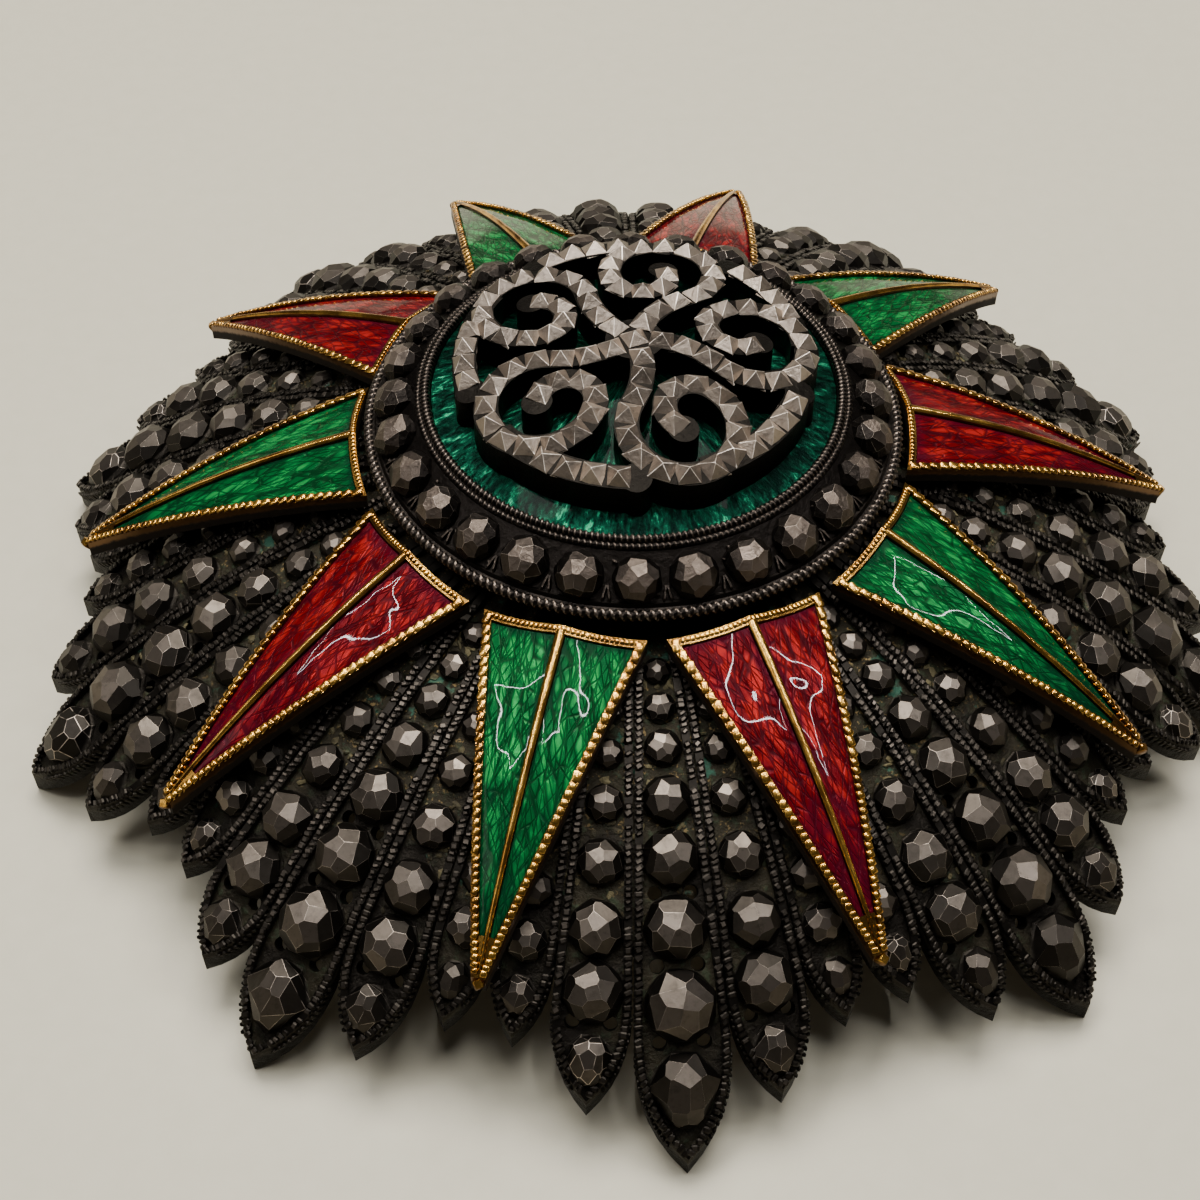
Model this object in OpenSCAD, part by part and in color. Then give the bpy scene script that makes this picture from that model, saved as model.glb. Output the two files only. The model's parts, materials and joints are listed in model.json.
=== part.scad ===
// Domed breast star: ten clusters of faceted silver rays, ten enamelled gold
// rays over the joints between them, and a round enamelled medallion.
// The star lies face up on the tips of its long rays, at z = 0.

/* [Star] */
// Width across two opposite long silver rays
star_d = 90; // [84:1:100]
// Radius of the dome that the floors of the silver rays lie on
dome_r = 65.5; // [61:0.5:76]
// Thickness of a silver ray under its floor
ray_t = 1; // [0.8:0.1:1.3]
// Free space between neighbouring pieces
gap = 0.05; // [0.02:0.01:0.1]

/* [Silver rays] */
// How much shorter a medium ray is than a long one
medium_step = 2.6; // [1.5:0.1:4]
// How much shorter a short ray is than a long one
short_step = 5.3; // [4.5:0.1:6.5]
// Half of the angle that a long ray fills
long_half = 4.3; // [4:0.1:4.6]
// Half of the angle that a medium ray fills
medium_half = 3.75; // [3.5:0.05:3.9]
// Length of the pointed end of a long ray
long_point = 5.8; // [4.5:0.1:7]
// Length of the pointed end of a medium ray
medium_point = 5; // [4:0.1:6]
// Length of the pointed end of a short ray
short_point = 4.4; // [3.5:0.1:5]
// Width of the raised rim along a ray
rim_w = 0.5; // [0.4:0.05:0.6]
// Height of the rim over the floor of a ray
rim_h = 0.4; // [0.2:0.05:0.6]
// Width of the groove between two rays
groove_w = 0.14; // [0.1:0.02:0.2]
// Bore of the holes drilled between the studs
drill_d = 0.9; // [0.6:0.05:1.1]

/* [Studs] */
// Width of the largest faceted stud
stud_d = 4.2; // [3.6:0.1:4.4]
// Height of a stud over its floor, as a share of its width
stud_rise = 0.36; // [0.3:0.01:0.42]
// How deep the foot of a stud sinks into the silver
stud_foot = 0.35; // [0.2:0.05:0.5]

/* [Enamelled rays] */
// How far the tip of an enamelled ray stays inside the long silver tips
enamel_step = 6.4; // [5:0.1:9]
// Width of an enamelled ray at its base
enamel_w = 10.5; // [8:0.1:11]
// Width of the blunt tip of an enamelled ray
enamel_tip_w = 0.9; // [0.6:0.1:1.2]
// Height of the gold centre rib over the floors of the silver rays
rib_rise = 3; // [2.85:0.05:3.4]
// Fall of the two enamelled flanks from the rib, in degrees
flank_fall = 11; // [8:0.5:13]
// Thickness of the gold body
gold_t = 1.05; // [0.95:0.05:1.2]
// Width of the gold border
border_w = 0.5; // [0.4:0.05:0.6]
// Width of the centre rib at the base of the ray
rib_w = 0.6; // [0.4:0.05:0.8]
// Depth of the enamel in its cells
cell_depth = 0.55; // [0.4:0.05:0.7]
// How far the gold border stands over the enamel
border_h = 0.2; // [0.1:0.05:0.3]
// Width of the post that carries the gold ray
post_d = 1.6; // [1.2:0.1:2]

/* [Medallion] */
// Width of the medallion over its outer rope
medallion_d = 36.5; // [34:0.1:38]
// Free width between the medallion and the base of an enamelled ray
base_gap = 0.55; // [0.3:0.05:0.8]
// Height of the underside of the medallion ring over the top of the dome
ring_lift = 0.7; // [0.6:0.1:1.2]
// Height of the ring at its outer edge
ring_edge_h = 0.55; // [0.5:0.05:0.8]
// Rise of the studded channel from its outer to its inner edge
ring_rise = 2.3; // [1.7:0.1:2.8]
// Width of the studded channel
channel_w = 2.9; // [2.7:0.05:3.1]
// Thickness of the outer rope
outer_rope_d = 0.85; // [0.6:0.05:1]
// Thickness of the inner rope
inner_rope_d = 0.65; // [0.4:0.05:0.8]
// Number of studs round the ring
ring_studs = 28; // [24:1:29]
// Width of a stud on the ring
ring_stud_d = 2.95; // [2.5:0.05:3]
// Height of the enamel dome from its edge to its crown
enamel_rise = 2.3; // [1.8:0.1:3]
// Thickness of the enamel dome at its edge
enamel_edge = 1.2; // [1:0.1:1.5]

/* [Ornament] */
// Width over the scrolls
scroll_d = 24.4; // [22:0.1:25]
// Number of scroll arms
scroll_arms = 5; // [4:1:5]
// Width of a scroll strip
strip_w = 1.6; // [1.3:0.05:1.7]
// Height of the strips over the enamel
strip_h = 2.1; // [1.6:0.1:2.6]
// Height of the small pyramids along a strip
pyramid_h = 0.7; // [0.5:0.05:0.8]

/* [Back] */
// Width of the round backing plate
backing_d = 48; // [42:1:52]
// Thickness of the backing plate
backing_t = 0.9; // [0.7:0.1:1.2]
// Length of the brooch pin from its hinge to its catch
pin_l = 34; // [28:1:36]
// Thickness of the pin wire
pin_d = 1.4; // [1:0.1:1.8]
// Width of the hinge and of the catch
pin_block = 3.2; // [2.6:0.1:4]
// Drop of the pin below the plate beside its hinge
pin_drop = 2.8; // [2:0.1:3.4]

/* [Hidden] */
$fn = 96;
clusters = 10;
pitch = 360 / clusters;
tip_r = star_d / 2;
dome_z = -sqrt(pow(dome_r - ray_t, 2) - pow(tip_r, 2));
dome_top = dome_z + dome_r;

// Silver rays of one cluster: offset from its centre line, half angle, tip
// radius and length of the pointed end.
RAY_TURN = 0;
RAY_HALF = 1;
RAY_TIP = 2;
RAY_POINT = 3;
RAY_STUDS = 4;
RAY_HOLES = 5;
short_half = (pitch / 2 - long_half - 2 * medium_half) / 2;
medium_turn = long_half + medium_half;
short_turn = long_half + 2 * medium_half + short_half;
point_power = 2.7;
point_steps = 7;

// Studs of a ray from its tip inwards: place as a share of the tip radius, and
// width as a share of the largest stud. The first row of each list is the
// drop-shaped one.
STUD_AT = 0;
STUD_SIZE = 1;
long_studs = [
    [0.916, 0.84], [0.835, 1.00], [0.750, 0.90], [0.670, 0.82],
    [0.599, 0.71], [0.532, 0.55], [0.478, 0.47], [0.427, 0.41]
];
medium_studs = [
    [0.943, 0.58], [0.871, 0.86], [0.797, 0.80], [0.716, 0.67],
    [0.640, 0.55], [0.573, 0.45], [0.515, 0.36]
];
short_studs = [
    [0.941, 0.46], [0.877, 0.59], [0.809, 0.53], [0.740, 0.43]
];
rays = [
    [0, long_half, tip_r, long_point, long_studs, 3],
    [medium_turn, medium_half, tip_r - medium_step, medium_point, medium_studs, 1],
    [-medium_turn, medium_half, tip_r - medium_step, medium_point, medium_studs, 1],
    [short_turn, short_half, tip_r - short_step, short_point, short_studs, 0],
    [-short_turn, short_half, tip_r - short_step, short_point, short_studs, 0]
];
hole_side = 0.46;
sector_r = tip_r - short_step - short_point - 0.4;
core_r = medallion_d / 2 - 3.2;

// Enamelled ray, seen from above along +X.
roof_r = dome_r + rib_rise;
base_r = medallion_d / 2 + base_gap;
enamel_tip_r = tip_r - enamel_step;
ray_bulge = 0.16;
cell_end = 0.9;
rib_taper = 0.6;
post_at = 0.36;

// Ring, in heights over the rest plane.
ring_r = medallion_d / 2 - outer_rope_d / 2;
seat_z = dome_top + ring_lift;
channel_out = ring_r - outer_rope_d * 0.42;
channel_in = channel_out - channel_w;
channel_z = seat_z + ring_edge_h;
inner_edge = channel_in - inner_rope_d - 0.35;
inner_rope_r = inner_edge + inner_rope_d / 2;
step_z = channel_z + ring_rise;
channel_tilt = atan(ring_rise / channel_w);
collar_in = core_r - 1.3;
ring_phase = 0.3;

// Enamel dome inside the ring, and the ball that its top is part of.
enamel_r = inner_edge - gap;
enamel_z = step_z - 0.15;
cap_r = (pow(enamel_r, 2) + pow(enamel_rise, 2)) / (2 * enamel_rise);
cap_z = enamel_z + enamel_rise - cap_r;

// Scrolls of one arm. Each is a start at an angle on the loop and arcs that
// follow each other: radius as a share of the reach, plus to the left and minus
// to the right, the angle turned, and the shares of it that carry pyramids.
ARC_R = 0;
ARC_TURN = 1;
ARC_FROM = 2;
ARC_TO = 3;
reach = scroll_d / 2 - strip_w / 2;
loop_at = 0.69;
loop_r = 0.31;
root = 222;
rim_at = 0.98;
curl_arcs = [
    [loop_r, 268, 0, 1], [0.165, 185, 0, 1]
];
stem_arcs = [
    [0.62, 48, 0, 0.84]
];
rim_arcs = [
    [rim_at, 50, 0.30, 0.97]
];

// Back.
backing_out = dome_r - ray_t - gap;
pin_z = dome_z + sqrt(pow(backing_out - backing_t, 2) - pow(pin_l / 2 + pin_block, 2)) - pin_drop;

silver = "dimgray";
gold = "darkgoldenrod";

// Seat a child on the dome, r from the axis and turned by a, with its foot on
// the floor and its own X pointing outwards.
module on_dome(r, a) {
    translate([0, 0, dome_z])
        rotate([0, asin(r / dome_r), a])
            translate([0, 0, dome_r])
                children();
}

// Ball of the dome, turned so that its seam lies away from a ray along +X.
module dome_ball(lift) {
    translate([0, 0, dome_z])
        rotate(180)
            sphere(r = dome_r + lift);
}

// Upright column of a flat outline, clear of the ball at both ends.
module column() {
    translate([0, 0, -5])
        linear_extrude(roof_r)
            children();
}

// Half width of a silver ray at x along its centre line.
function half_w(x, half, tip, point) =
    let (shoulder = tip - point, s = (x - shoulder) / point)
    x <= shoulder ? x * tan(half) : shoulder * tan(half) * (1 - pow(s, point_power));

// Outline of a silver ray along +X from from_r to its tip, drawn in by inset.
function ray_side(half, tip, point, from_r, inset) =
    let (
        shoulder = tip - point,
        last = pow(1 - inset / (shoulder * tan(half)), 1 / point_power)
    )
    concat(
        [[from_r, from_r * tan(half) - inset]],
        [for (i = [0:point_steps])
            let (x = shoulder + point * last * i / point_steps)
            [x, max(half_w(x, half, tip, point) - inset, 0)]]
    );
function flip(points) = [for (i = [len(points) - 1:-1:0]) [points[i][0], -points[i][1]]];
module ray_outline(ray, from_r, inset) {
    side = ray_side(ray[RAY_HALF], ray[RAY_TIP], ray[RAY_POINT], from_r, inset);
    tip = side[len(side) - 1];
    flank = [for (i = [0:len(side) - 2]) side[i]];
    polygon(concat(flank, [tip], flip(flank)));
}

// Faceted stud, cut from four bars that cross: a table, four facets at its
// edges, four at its corners, and a ring of eight steep ones below.
module bar(profile, length) {
    rotate([90, 0, 0])
        linear_extrude(length, center = true)
            polygon(profile);
}
function stud_profile(r, h, table_w, knee_w, knee_h, girdle_h) = [
    [-r, -stud_foot], [r, -stud_foot], [r, girdle_h * h], [knee_w * r, knee_h * h],
    [table_w * r, h], [-table_w * r, h], [-knee_w * r, knee_h * h], [-r, girdle_h * h]
];
module stud(d) {
    r = d / 2;
    h = d * stud_rise;
    edge = stud_profile(r, h, 0.30, 0.80, 0.62, 0.12);
    corner = stud_profile(r, h, 0.42, 0.86, 0.50, 0.16);
    intersection() {
        rotate([0, 0, 45]) bar(edge, 3 * r);
        rotate([0, 0, -45]) bar(edge, 3 * r);
        bar(corner, 3 * r);
        rotate([0, 0, 90]) bar(corner, 3 * r);
    }
}

// Drop-shaped stud at the tip of a ray, its point along +X.
module drop_stud(d) {
    r = d / 2;
    h = d * stud_rise;
    drop_l = 1.75 * r;
    along = [
        [-r, -stud_foot], [drop_l, -stud_foot], [drop_l, 0.10 * h], [1.05 * r, 0.55 * h],
        [0.30 * r, h], [-0.25 * r, h], [-0.78 * r, 0.62 * h], [-r, 0.12 * h]
    ];
    across = stud_profile(r, h, 0.22, 0.72, 0.60, 0.12);
    intersection() {
        bar(along, 3 * r);
        rotate([0, 0, 90]) bar(across, 5 * r);
        translate([0, 0, -stud_foot])
            linear_extrude(h + stud_foot)
                polygon([
                    [-r, -0.45 * r], [-0.5 * r, -0.95 * r], [0.35 * r, -r], [1.1 * r, -0.62 * r],
                    [drop_l, 0], [1.1 * r, 0.62 * r], [0.35 * r, r], [-0.5 * r, 0.95 * r],
                    [-r, 0.45 * r]
                ]);
    }
}

module ray_studs(ray) {
    studs = ray[RAY_STUDS];
    for (i = [0:len(studs) - 1])
        on_dome(studs[i][STUD_AT] * ray[RAY_TIP], ray[RAY_TURN])
            if (i == 0) drop_stud(studs[i][STUD_SIZE] * stud_d);
            else stud(studs[i][STUD_SIZE] * stud_d);
}

// Pairs of holes between the outer studs of a ray.
module ray_holes(ray) {
    studs = ray[RAY_STUDS];
    if (ray[RAY_HOLES] > 0)
        for (i = [0:ray[RAY_HOLES] - 1], side = [-1, 1])
            on_dome(
                (studs[i][STUD_AT] + studs[i + 1][STUD_AT]) / 2 * ray[RAY_TIP],
                ray[RAY_TURN] + side * hole_side * ray[RAY_HALF]
            )
                cylinder(d = drill_d, h = 4 * ray_t, center = true);
}

// Whole thickness of the five rays of a cluster, rims included.
module cluster_body() {
    intersection() {
        column()
            difference() {
                union() {
                    for (ray = rays)
                        rotate(ray[RAY_TURN])
                            ray_outline(ray, sector_r - 3, groove_w / 2);
                    translate([gap / 2 / sin(pitch / 2), 0])
                        polygon([
                            [0, 0],
                            [sector_r * cos(pitch / 2), -sector_r * sin(pitch / 2)],
                            [sector_r, 0],
                            [sector_r * cos(pitch / 2), sector_r * sin(pitch / 2)]
                        ]);
                }
                circle(r = core_r);
            }
        difference() {
            dome_ball(rim_h);
            dome_ball(-ray_t);
        }
    }
}

// What is sunk between the rims: the floor of every ray and the grooves
// between neighbouring rays.
module cluster_sinks() {
    floor_from = core_r - 1;
    difference() {
        column()
            union() {
                for (ray = rays)
                    rotate(ray[RAY_TURN])
                        ray_outline(ray, floor_from, groove_w / 2 + rim_w);
                for (turn = [long_half, long_half + 2 * medium_half], side = [-1, 1])
                    rotate(side * turn)
                        translate([floor_from, -groove_w / 2])
                            square([sector_r - floor_from + 1, groove_w]);
            }
        dome_ball(0);
    }
}

module silver_cluster(k) {
    color(silver)
        rotate(-90 + pitch * (k - 1)) {
            difference() {
                cluster_body();
                cluster_sinks();
                for (ray = rays) ray_holes(ray);
            }
            for (ray = rays) ray_studs(ray);
        }
}

// Roof of an enamelled ray: two cones that meet at the rib and follow the
// dome along the ray.
module roof(lift) {
    side = enamel_w;
    r = roof_r + lift;
    edge_r = r - side * tan(flank_fall);
    translate([0, 0, dome_z])
        rotate([90, 0, 0])
            rotate_extrude()
                polygon([[0, -side], [edge_r, -side], [r, 0], [edge_r, side], [0, side]]);
}

// Half width of an enamelled ray, s from 0 at its base to 1 at its tip.
function enamel_half(s) =
    enamel_tip_w / 2 + (enamel_w - enamel_tip_w) / 2 * (1 - s) * (1 + ray_bulge * s);
function enamel_x(s) = base_x + (enamel_tip_r - base_x) * s;
base_x = sqrt(pow(base_r, 2) - pow(enamel_w / 2, 2));
side_steps = 6;
base_over = -0.15;

module gold_outline() {
    side = [for (i = [0:side_steps])
        let (s = base_over + (1 - base_over) * i / side_steps)
        [enamel_x(s), enamel_half(s)]];
    difference() {
        polygon(concat(side, flip(side)));
        circle(r = base_r);
    }
}

// Outline of one enamel cell on the +Y side, drawn in by inset.
module cell_outline(inset) {
    last = cell_end - inset / 20;
    outer = [for (i = [0:side_steps])
        let (s = base_over + (last - base_over) * i / side_steps)
        [enamel_x(s), enamel_half(s) - border_w - inset]];
    inner = [for (s = [last, base_over])
        [enamel_x(s), rib_w / 2 * (1 - rib_taper * s) + inset]];
    difference() {
        polygon(concat(outer, inner));
        circle(r = base_r + border_w + inset);
    }
}
module cell_side(side) {
    if (side > 0) children();
    else mirror([0, 1, 0]) children();
}

module gold_ray(k) {
    post_x = enamel_x(post_at);
    color(gold)
        rotate(-90 + pitch * (k - 1.5)) {
            difference() {
                intersection() {
                    column()
                        gold_outline();
                    roof(border_h);
                }
                roof(border_h - gold_t);
                for (side = [-1, 1])
                    difference() {
                        column()
                            cell_side(side) cell_outline(0);
                        roof(-cell_depth);
                    }
            }
            difference() {
                intersection() {
                    translate([post_x, 0, 0])
                        rotate(45)
                            cylinder(d = post_d, h = roof_r, $fn = 48);
                    roof(-cell_depth - 0.1);
                }
                dome_ball(rim_h + gap);
            }
        }
}

module enamel_field(k, side) {
    color(k % 2 == 1 ? "seagreen" : "firebrick")
        rotate(-90 + pitch * (k - 1.5))
            difference() {
                intersection() {
                    column()
                        cell_side(side) cell_outline(gap);
                    roof(0);
                }
                roof(gap - cell_depth);
            }
}

module backing_plate() {
    color(silver) {
        intersection() {
            difference() {
                dome_ball(-ray_t - gap);
                dome_ball(-ray_t - gap - backing_t);
            }
            cylinder(d = backing_d, h = dome_top);
        }
        difference() {
            translate([0, 0, dome_z + dome_r - ray_t - backing_t - 1.5])
                cylinder(r = core_r - gap, h = backing_t + 1.5 + ray_t + ring_lift - gap);
            cylinder(r = collar_in, h = 2 * seat_z);
            dome_ball(-ray_t - gap - backing_t / 2);
        }
    }
}

module medallion_ring() {
    ledge = 1;
    color(silver) {
        rotate_extrude()
            polygon([
                [collar_in, seat_z], [ring_r, seat_z], [ring_r, channel_z - 0.1],
                [channel_out, channel_z], [channel_in, step_z - 0.25],
                [channel_in, step_z], [inner_edge, step_z],
                [inner_edge, enamel_z - enamel_edge - gap],
                [inner_edge - ledge, enamel_z - enamel_edge - gap],
                [inner_edge - ledge, seat_z]
            ]);
        translate([0, 0, channel_z - outer_rope_d * 0.3])
            rotate_extrude()
                translate([ring_r, 0])
                    circle(d = outer_rope_d, $fn = 24);
        translate([0, 0, step_z + inner_rope_d * 0.2])
            rotate_extrude()
                translate([inner_rope_r, 0])
                    circle(d = inner_rope_d, $fn = 24);
        for (i = [0:ring_studs - 1])
            rotate(-90 + (i - ring_phase) * 360 / ring_studs)
                translate([(channel_out + channel_in) / 2, 0, channel_z + ring_rise / 2 - 0.12])
                    rotate([0, channel_tilt, 0])
                        stud(ring_stud_d);
    }
}

module cap_ball(lift) {
    translate([0, 0, cap_z])
        rotate(18)
            sphere(r = cap_r + lift);
}

module medallion_enamel() {
    color("darkgreen")
        intersection() {
            translate([0, 0, enamel_z - enamel_edge])
                cylinder(r = enamel_r, h = enamel_edge + enamel_rise + 1);
            cap_ball(0);
        }
}

// Arcs of the scrolls. A pose is [x, y, heading].
function arc_centre(pose, r) = [pose[0] - r * sin(pose[2]), pose[1] + r * cos(pose[2])];
function arc_end(pose, r, turn) =
    let (c = arc_centre(pose, r), h = pose[2] + sign(r) * turn)
    [c[0] + r * sin(h), c[1] - r * cos(h), h];
function poses(start, arcs, i = 0) =
    i == len(arcs) ? [start]
    : concat(
        [start],
        poses(arc_end(start, arcs[i][ARC_R] * reach, arcs[i][ARC_TURN]), arcs, i + 1)
    );
function on_loop(a, heading) =
    [(loop_at + loop_r * cos(a)) * reach, loop_r * sin(a) * reach, heading];
scrolls = [
    [on_loop(root, root + 90), curl_arcs],
    [on_loop(root, root - 90), stem_arcs],
    [[rim_at * reach, 0, 90], rim_arcs]
];

module strip(pose, r, turn) {
    from = r > 0 ? pose[2] - 90 : pose[2] + 90 - turn;
    wedge = [for (i = [0:12]) 3 * abs(r) * [cos(from + turn * i / 12), sin(from + turn * i / 12)]];
    translate(arc_centre(pose, r))
        intersection() {
            difference() {
                circle(r = abs(r) + strip_w / 2);
                circle(r = abs(r) - strip_w / 2);
            }
            polygon(concat([[0, 0]], wedge));
        }
}

module strips(start, arcs) {
    path = poses(start, arcs);
    for (i = [0:len(arcs) - 1])
        strip(path[i], arcs[i][ARC_R] * reach, arcs[i][ARC_TURN]);
    translate([path[len(arcs)][0], path[len(arcs)][1]])
        circle(d = 1.25 * strip_w);
}

// Row of small pyramids along the arcs, standing on the domed top.
module pyramid(x, y, heading) {
    top_r = cap_r + strip_h;
    out = sqrt(x * x + y * y);
    translate([0, 0, cap_z])
        rotate([0, asin(out / top_r), atan2(y, x)])
            translate([0, 0, top_r - 0.2])
                rotate(heading - atan2(y, x) + 45)
                    cylinder(d1 = 1.32 * strip_w, d2 = 0, h = pyramid_h + 0.2, $fn = 4);
}
module pyramids(start, arcs) {
    path = poses(start, arcs);
    for (i = [0:len(arcs) - 1]) {
        r = arcs[i][ARC_R] * reach;
        turn = arcs[i][ARC_TURN] * (arcs[i][ARC_TO] - arcs[i][ARC_FROM]);
        count = round(abs(r) * turn * PI / 180 / strip_w);
        for (n = [0:count - 1]) {
            at = arc_end(path[i], r, arcs[i][ARC_TURN] * arcs[i][ARC_FROM] + turn * (n + 0.5) / count);
            pyramid(at[0], at[1], at[2]);
        }
    }
}

module scroll_ornament() {
    color("gray") {
        intersection() {
            linear_extrude(cap_z + cap_r + strip_h + 1)
                union() {
                    for (k = [1:scroll_arms], scroll = scrolls)
                        rotate(k * 360 / scroll_arms)
                            strips(scroll[0], scroll[1]);
                    circle(d = 2.4 * strip_w);
                }
            difference() {
                cap_ball(strip_h);
                cap_ball(gap);
            }
        }
        for (k = [1:scroll_arms], scroll = scrolls)
            rotate(k * 360 / scroll_arms)
                pyramids(scroll[0], scroll[1]);
        pyramid(0, 0, 0);
    }
}

module brooch_pin() {
    block_z = pin_z - pin_block / 2;
    color(silver) {
        intersection() {
            for (side = [-1, 1])
                translate([-pin_block / 2, side * pin_l / 2 - pin_block / 2, block_z])
                    cube([pin_block, pin_block, dome_top]);
            dome_ball(-ray_t - backing_t - 2 * gap);
        }
        translate([0, 0, pin_z])
            rotate([90, 0, 0])
                cylinder(d = pin_d, h = pin_l, center = true, $fn = 32);
    }
}

backing_plate();
for (k = [1:clusters]) {
    silver_cluster(k);
    gold_ray(k);
    enamel_field(k, 1);
    enamel_field(k, -1);
}
medallion_ring();
medallion_enamel();
scroll_ornament();
brooch_pin();
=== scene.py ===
# %% [markdown]
# # A domed breast star in cut silver, gold and enamel
#
# The star is a shallow dome, 90 mm across. Ten clusters of dark silver rays
# carry rows of hand-cut studs, ten enamelled gold rays lie over the joints, and
# a round medallion with pierced scrollwork crowns the middle.
#
# The metalwork arrives as a fixed frame of exact solids, in metres. This lesson
# dresses it: small parts that a cutter, a knurling wheel or an enameller would
# add are modelled here and set on the frame, and every surface gets its finish.

# %% Load the frame
import json
import math
import random
from collections import namedtuple

import bpy
import numpy as np
from mathutils import Matrix, Vector, noise

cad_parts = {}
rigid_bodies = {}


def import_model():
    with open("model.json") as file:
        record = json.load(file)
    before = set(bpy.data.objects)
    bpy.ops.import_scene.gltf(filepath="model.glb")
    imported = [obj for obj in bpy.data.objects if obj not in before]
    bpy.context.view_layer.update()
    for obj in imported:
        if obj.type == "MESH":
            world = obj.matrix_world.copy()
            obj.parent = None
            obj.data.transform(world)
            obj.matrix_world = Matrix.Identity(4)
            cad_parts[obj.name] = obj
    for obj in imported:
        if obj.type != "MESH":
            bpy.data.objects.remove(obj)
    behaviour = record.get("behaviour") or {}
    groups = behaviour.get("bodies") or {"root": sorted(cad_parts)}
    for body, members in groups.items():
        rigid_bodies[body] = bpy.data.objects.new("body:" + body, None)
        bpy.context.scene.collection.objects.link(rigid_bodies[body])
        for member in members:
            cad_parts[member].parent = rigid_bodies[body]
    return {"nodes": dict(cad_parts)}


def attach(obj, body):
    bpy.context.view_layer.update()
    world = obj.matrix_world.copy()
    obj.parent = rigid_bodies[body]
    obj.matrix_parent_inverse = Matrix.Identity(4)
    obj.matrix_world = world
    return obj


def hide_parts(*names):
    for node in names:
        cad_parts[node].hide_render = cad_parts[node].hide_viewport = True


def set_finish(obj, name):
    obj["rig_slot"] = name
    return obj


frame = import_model()
bpy.context.view_layer.update()

# %% [markdown]
# ## The sizes that everything shares
#
# The silver rays lie on one big ball and the enamelled rays on a slightly
# larger one, so a point on the star is easy to work out: a distance from the
# axis, an angle, and the ball it lies on. These values repeat the real sizes
# of the frame in millimetres, and MM turns them into Blender's metres.

# %% Sizes of the star
MM = 0.001
PARTS = 10
PITCH = math.radians(36)
star_r = 45 * MM
dome_r = 65.5 * MM
ray_t = 1 * MM
dome_centre = Vector((0, 0, -math.sqrt((dome_r - ray_t) ** 2 - star_r**2)))
dome_top = dome_centre.z + dome_r
medallion_r = 18.25 * MM
print("dome: centre %.2f mm, top %.2f mm" % (dome_centre.z / MM, dome_top / MM))

# %% [markdown]
# ## Small helpers
#
# Operators act on whatever is selected, so the first helpers leave exactly one
# object selected. They add a primitive under its own name and apply a modifier
# with its settings. The others stand a small model at a point, with its own X
# along a line and its own Z away from the surface, and turn or size it there.


# %% Select, add and modify
def only(piece):
    bpy.ops.object.select_all(action="DESELECT")
    piece.select_set(True)
    bpy.context.view_layer.objects.active = piece


def linked(name, data):
    piece = bpy.data.objects.new(name, data)
    bpy.context.scene.collection.objects.link(piece)
    return piece


def primitive(add, name, **sizes):
    bpy.ops.object.select_all(action="DESELECT")
    add(**sizes)
    piece = bpy.context.active_object
    piece.name = piece.data.name = name
    return piece


def modify(piece, name, kind, **settings):
    modifier = piece.modifiers.new(name, kind)
    for setting, value in settings.items():
        setattr(modifier, setting, value)
    bpy.ops.object.modifier_apply(modifier=modifier.name)


# %% Stand a model at a point
X_AXIS = Vector((1, 0, 0))


def sized(x, y, z):
    return Matrix.Diagonal((x, y, z, 1))


def turned(angle):
    return Matrix.Rotation(angle, 4, "Z")


def standing(point, along, up, size=(1, 1, 1)):
    z = up.normalized()
    y = z.cross(along).normalized()
    axes = Matrix((y.cross(z), y, z)).transposed().to_4x4()
    return Matrix.Translation(point) @ axes @ sized(*size)


# %% [markdown]
# What repeats is modelled once. To set hundreds of copies, the helper below
# reads the model's points and faces, moves the points for every copy, and
# writes them all into one mesh, which is far quicker than joining objects.
#
# Three numbers are kept on every face for the finishes. The first is a tone for the copy, because hand
# work is never even. The second is how far the face looks up from the copy's own foot, because what
# looks up is partly rubbed clean and partly painted lighter, as if lit from above. The third is whether
# it is an edge face, painted bright as wear and as a highlight, which the models mark with their second
# material slot.


# %% Gather many copies into one mesh
def keep_numbers(mesh, **lists):
    for name, values in lists.items():
        mesh.attributes.new(name, "FLOAT", "FACE").data.foreach_set("value", values)


def gather(name, copies):
    points, faces, tones, upward, worn = [], [], [], [], []
    first = 0
    for model, place, tone in copies:
        local = np.array([v.co for v in model.data.vertices])
        frame_of = np.array(place)
        points.append(local @ frame_of[:3, :3].T + frame_of[:3, 3])
        for face in model.data.polygons:
            faces.append([first + i for i in face.vertices])
            tones.append(tone)
            upward.append(face.normal.z)
            worn.append(float(face.material_index))
        first += len(local)
    mesh = bpy.data.meshes.new(name)
    mesh.from_pydata(np.concatenate(points).tolist(), [], faces)
    keep_numbers(mesh, tone=tones, upward=upward, worn=worn)
    return linked(name, mesh)


def join(pieces):
    only(pieces[0])
    for piece in pieces:
        piece.select_set(True)
    bpy.ops.object.join()
    return bpy.context.active_object


# %% [markdown]
# Rims, ropes and beads follow lines over the star. A line is a list of points,
# close together. This helper walks along it in even steps and gives each
# place with the direction of the line there.


# %% Walk along a line in even steps
def evenly(line, step):
    line = np.array(line)
    lengths = np.linalg.norm(np.diff(line, axis=0), axis=1)
    run = np.concatenate([[0], np.cumsum(lengths)])
    count = max(int(run[-1] / step), 1)
    at = (np.arange(count) + 0.5) * run[-1] / count

    def points_at(places):
        return np.stack([np.interp(places, run, line[:, i]) for i in range(3)], axis=1)

    ahead = points_at(at + step / 4) - points_at(at - step / 4)
    return [(Vector(point), Vector(way)) for point, way in zip(points_at(at), ahead)]
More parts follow.
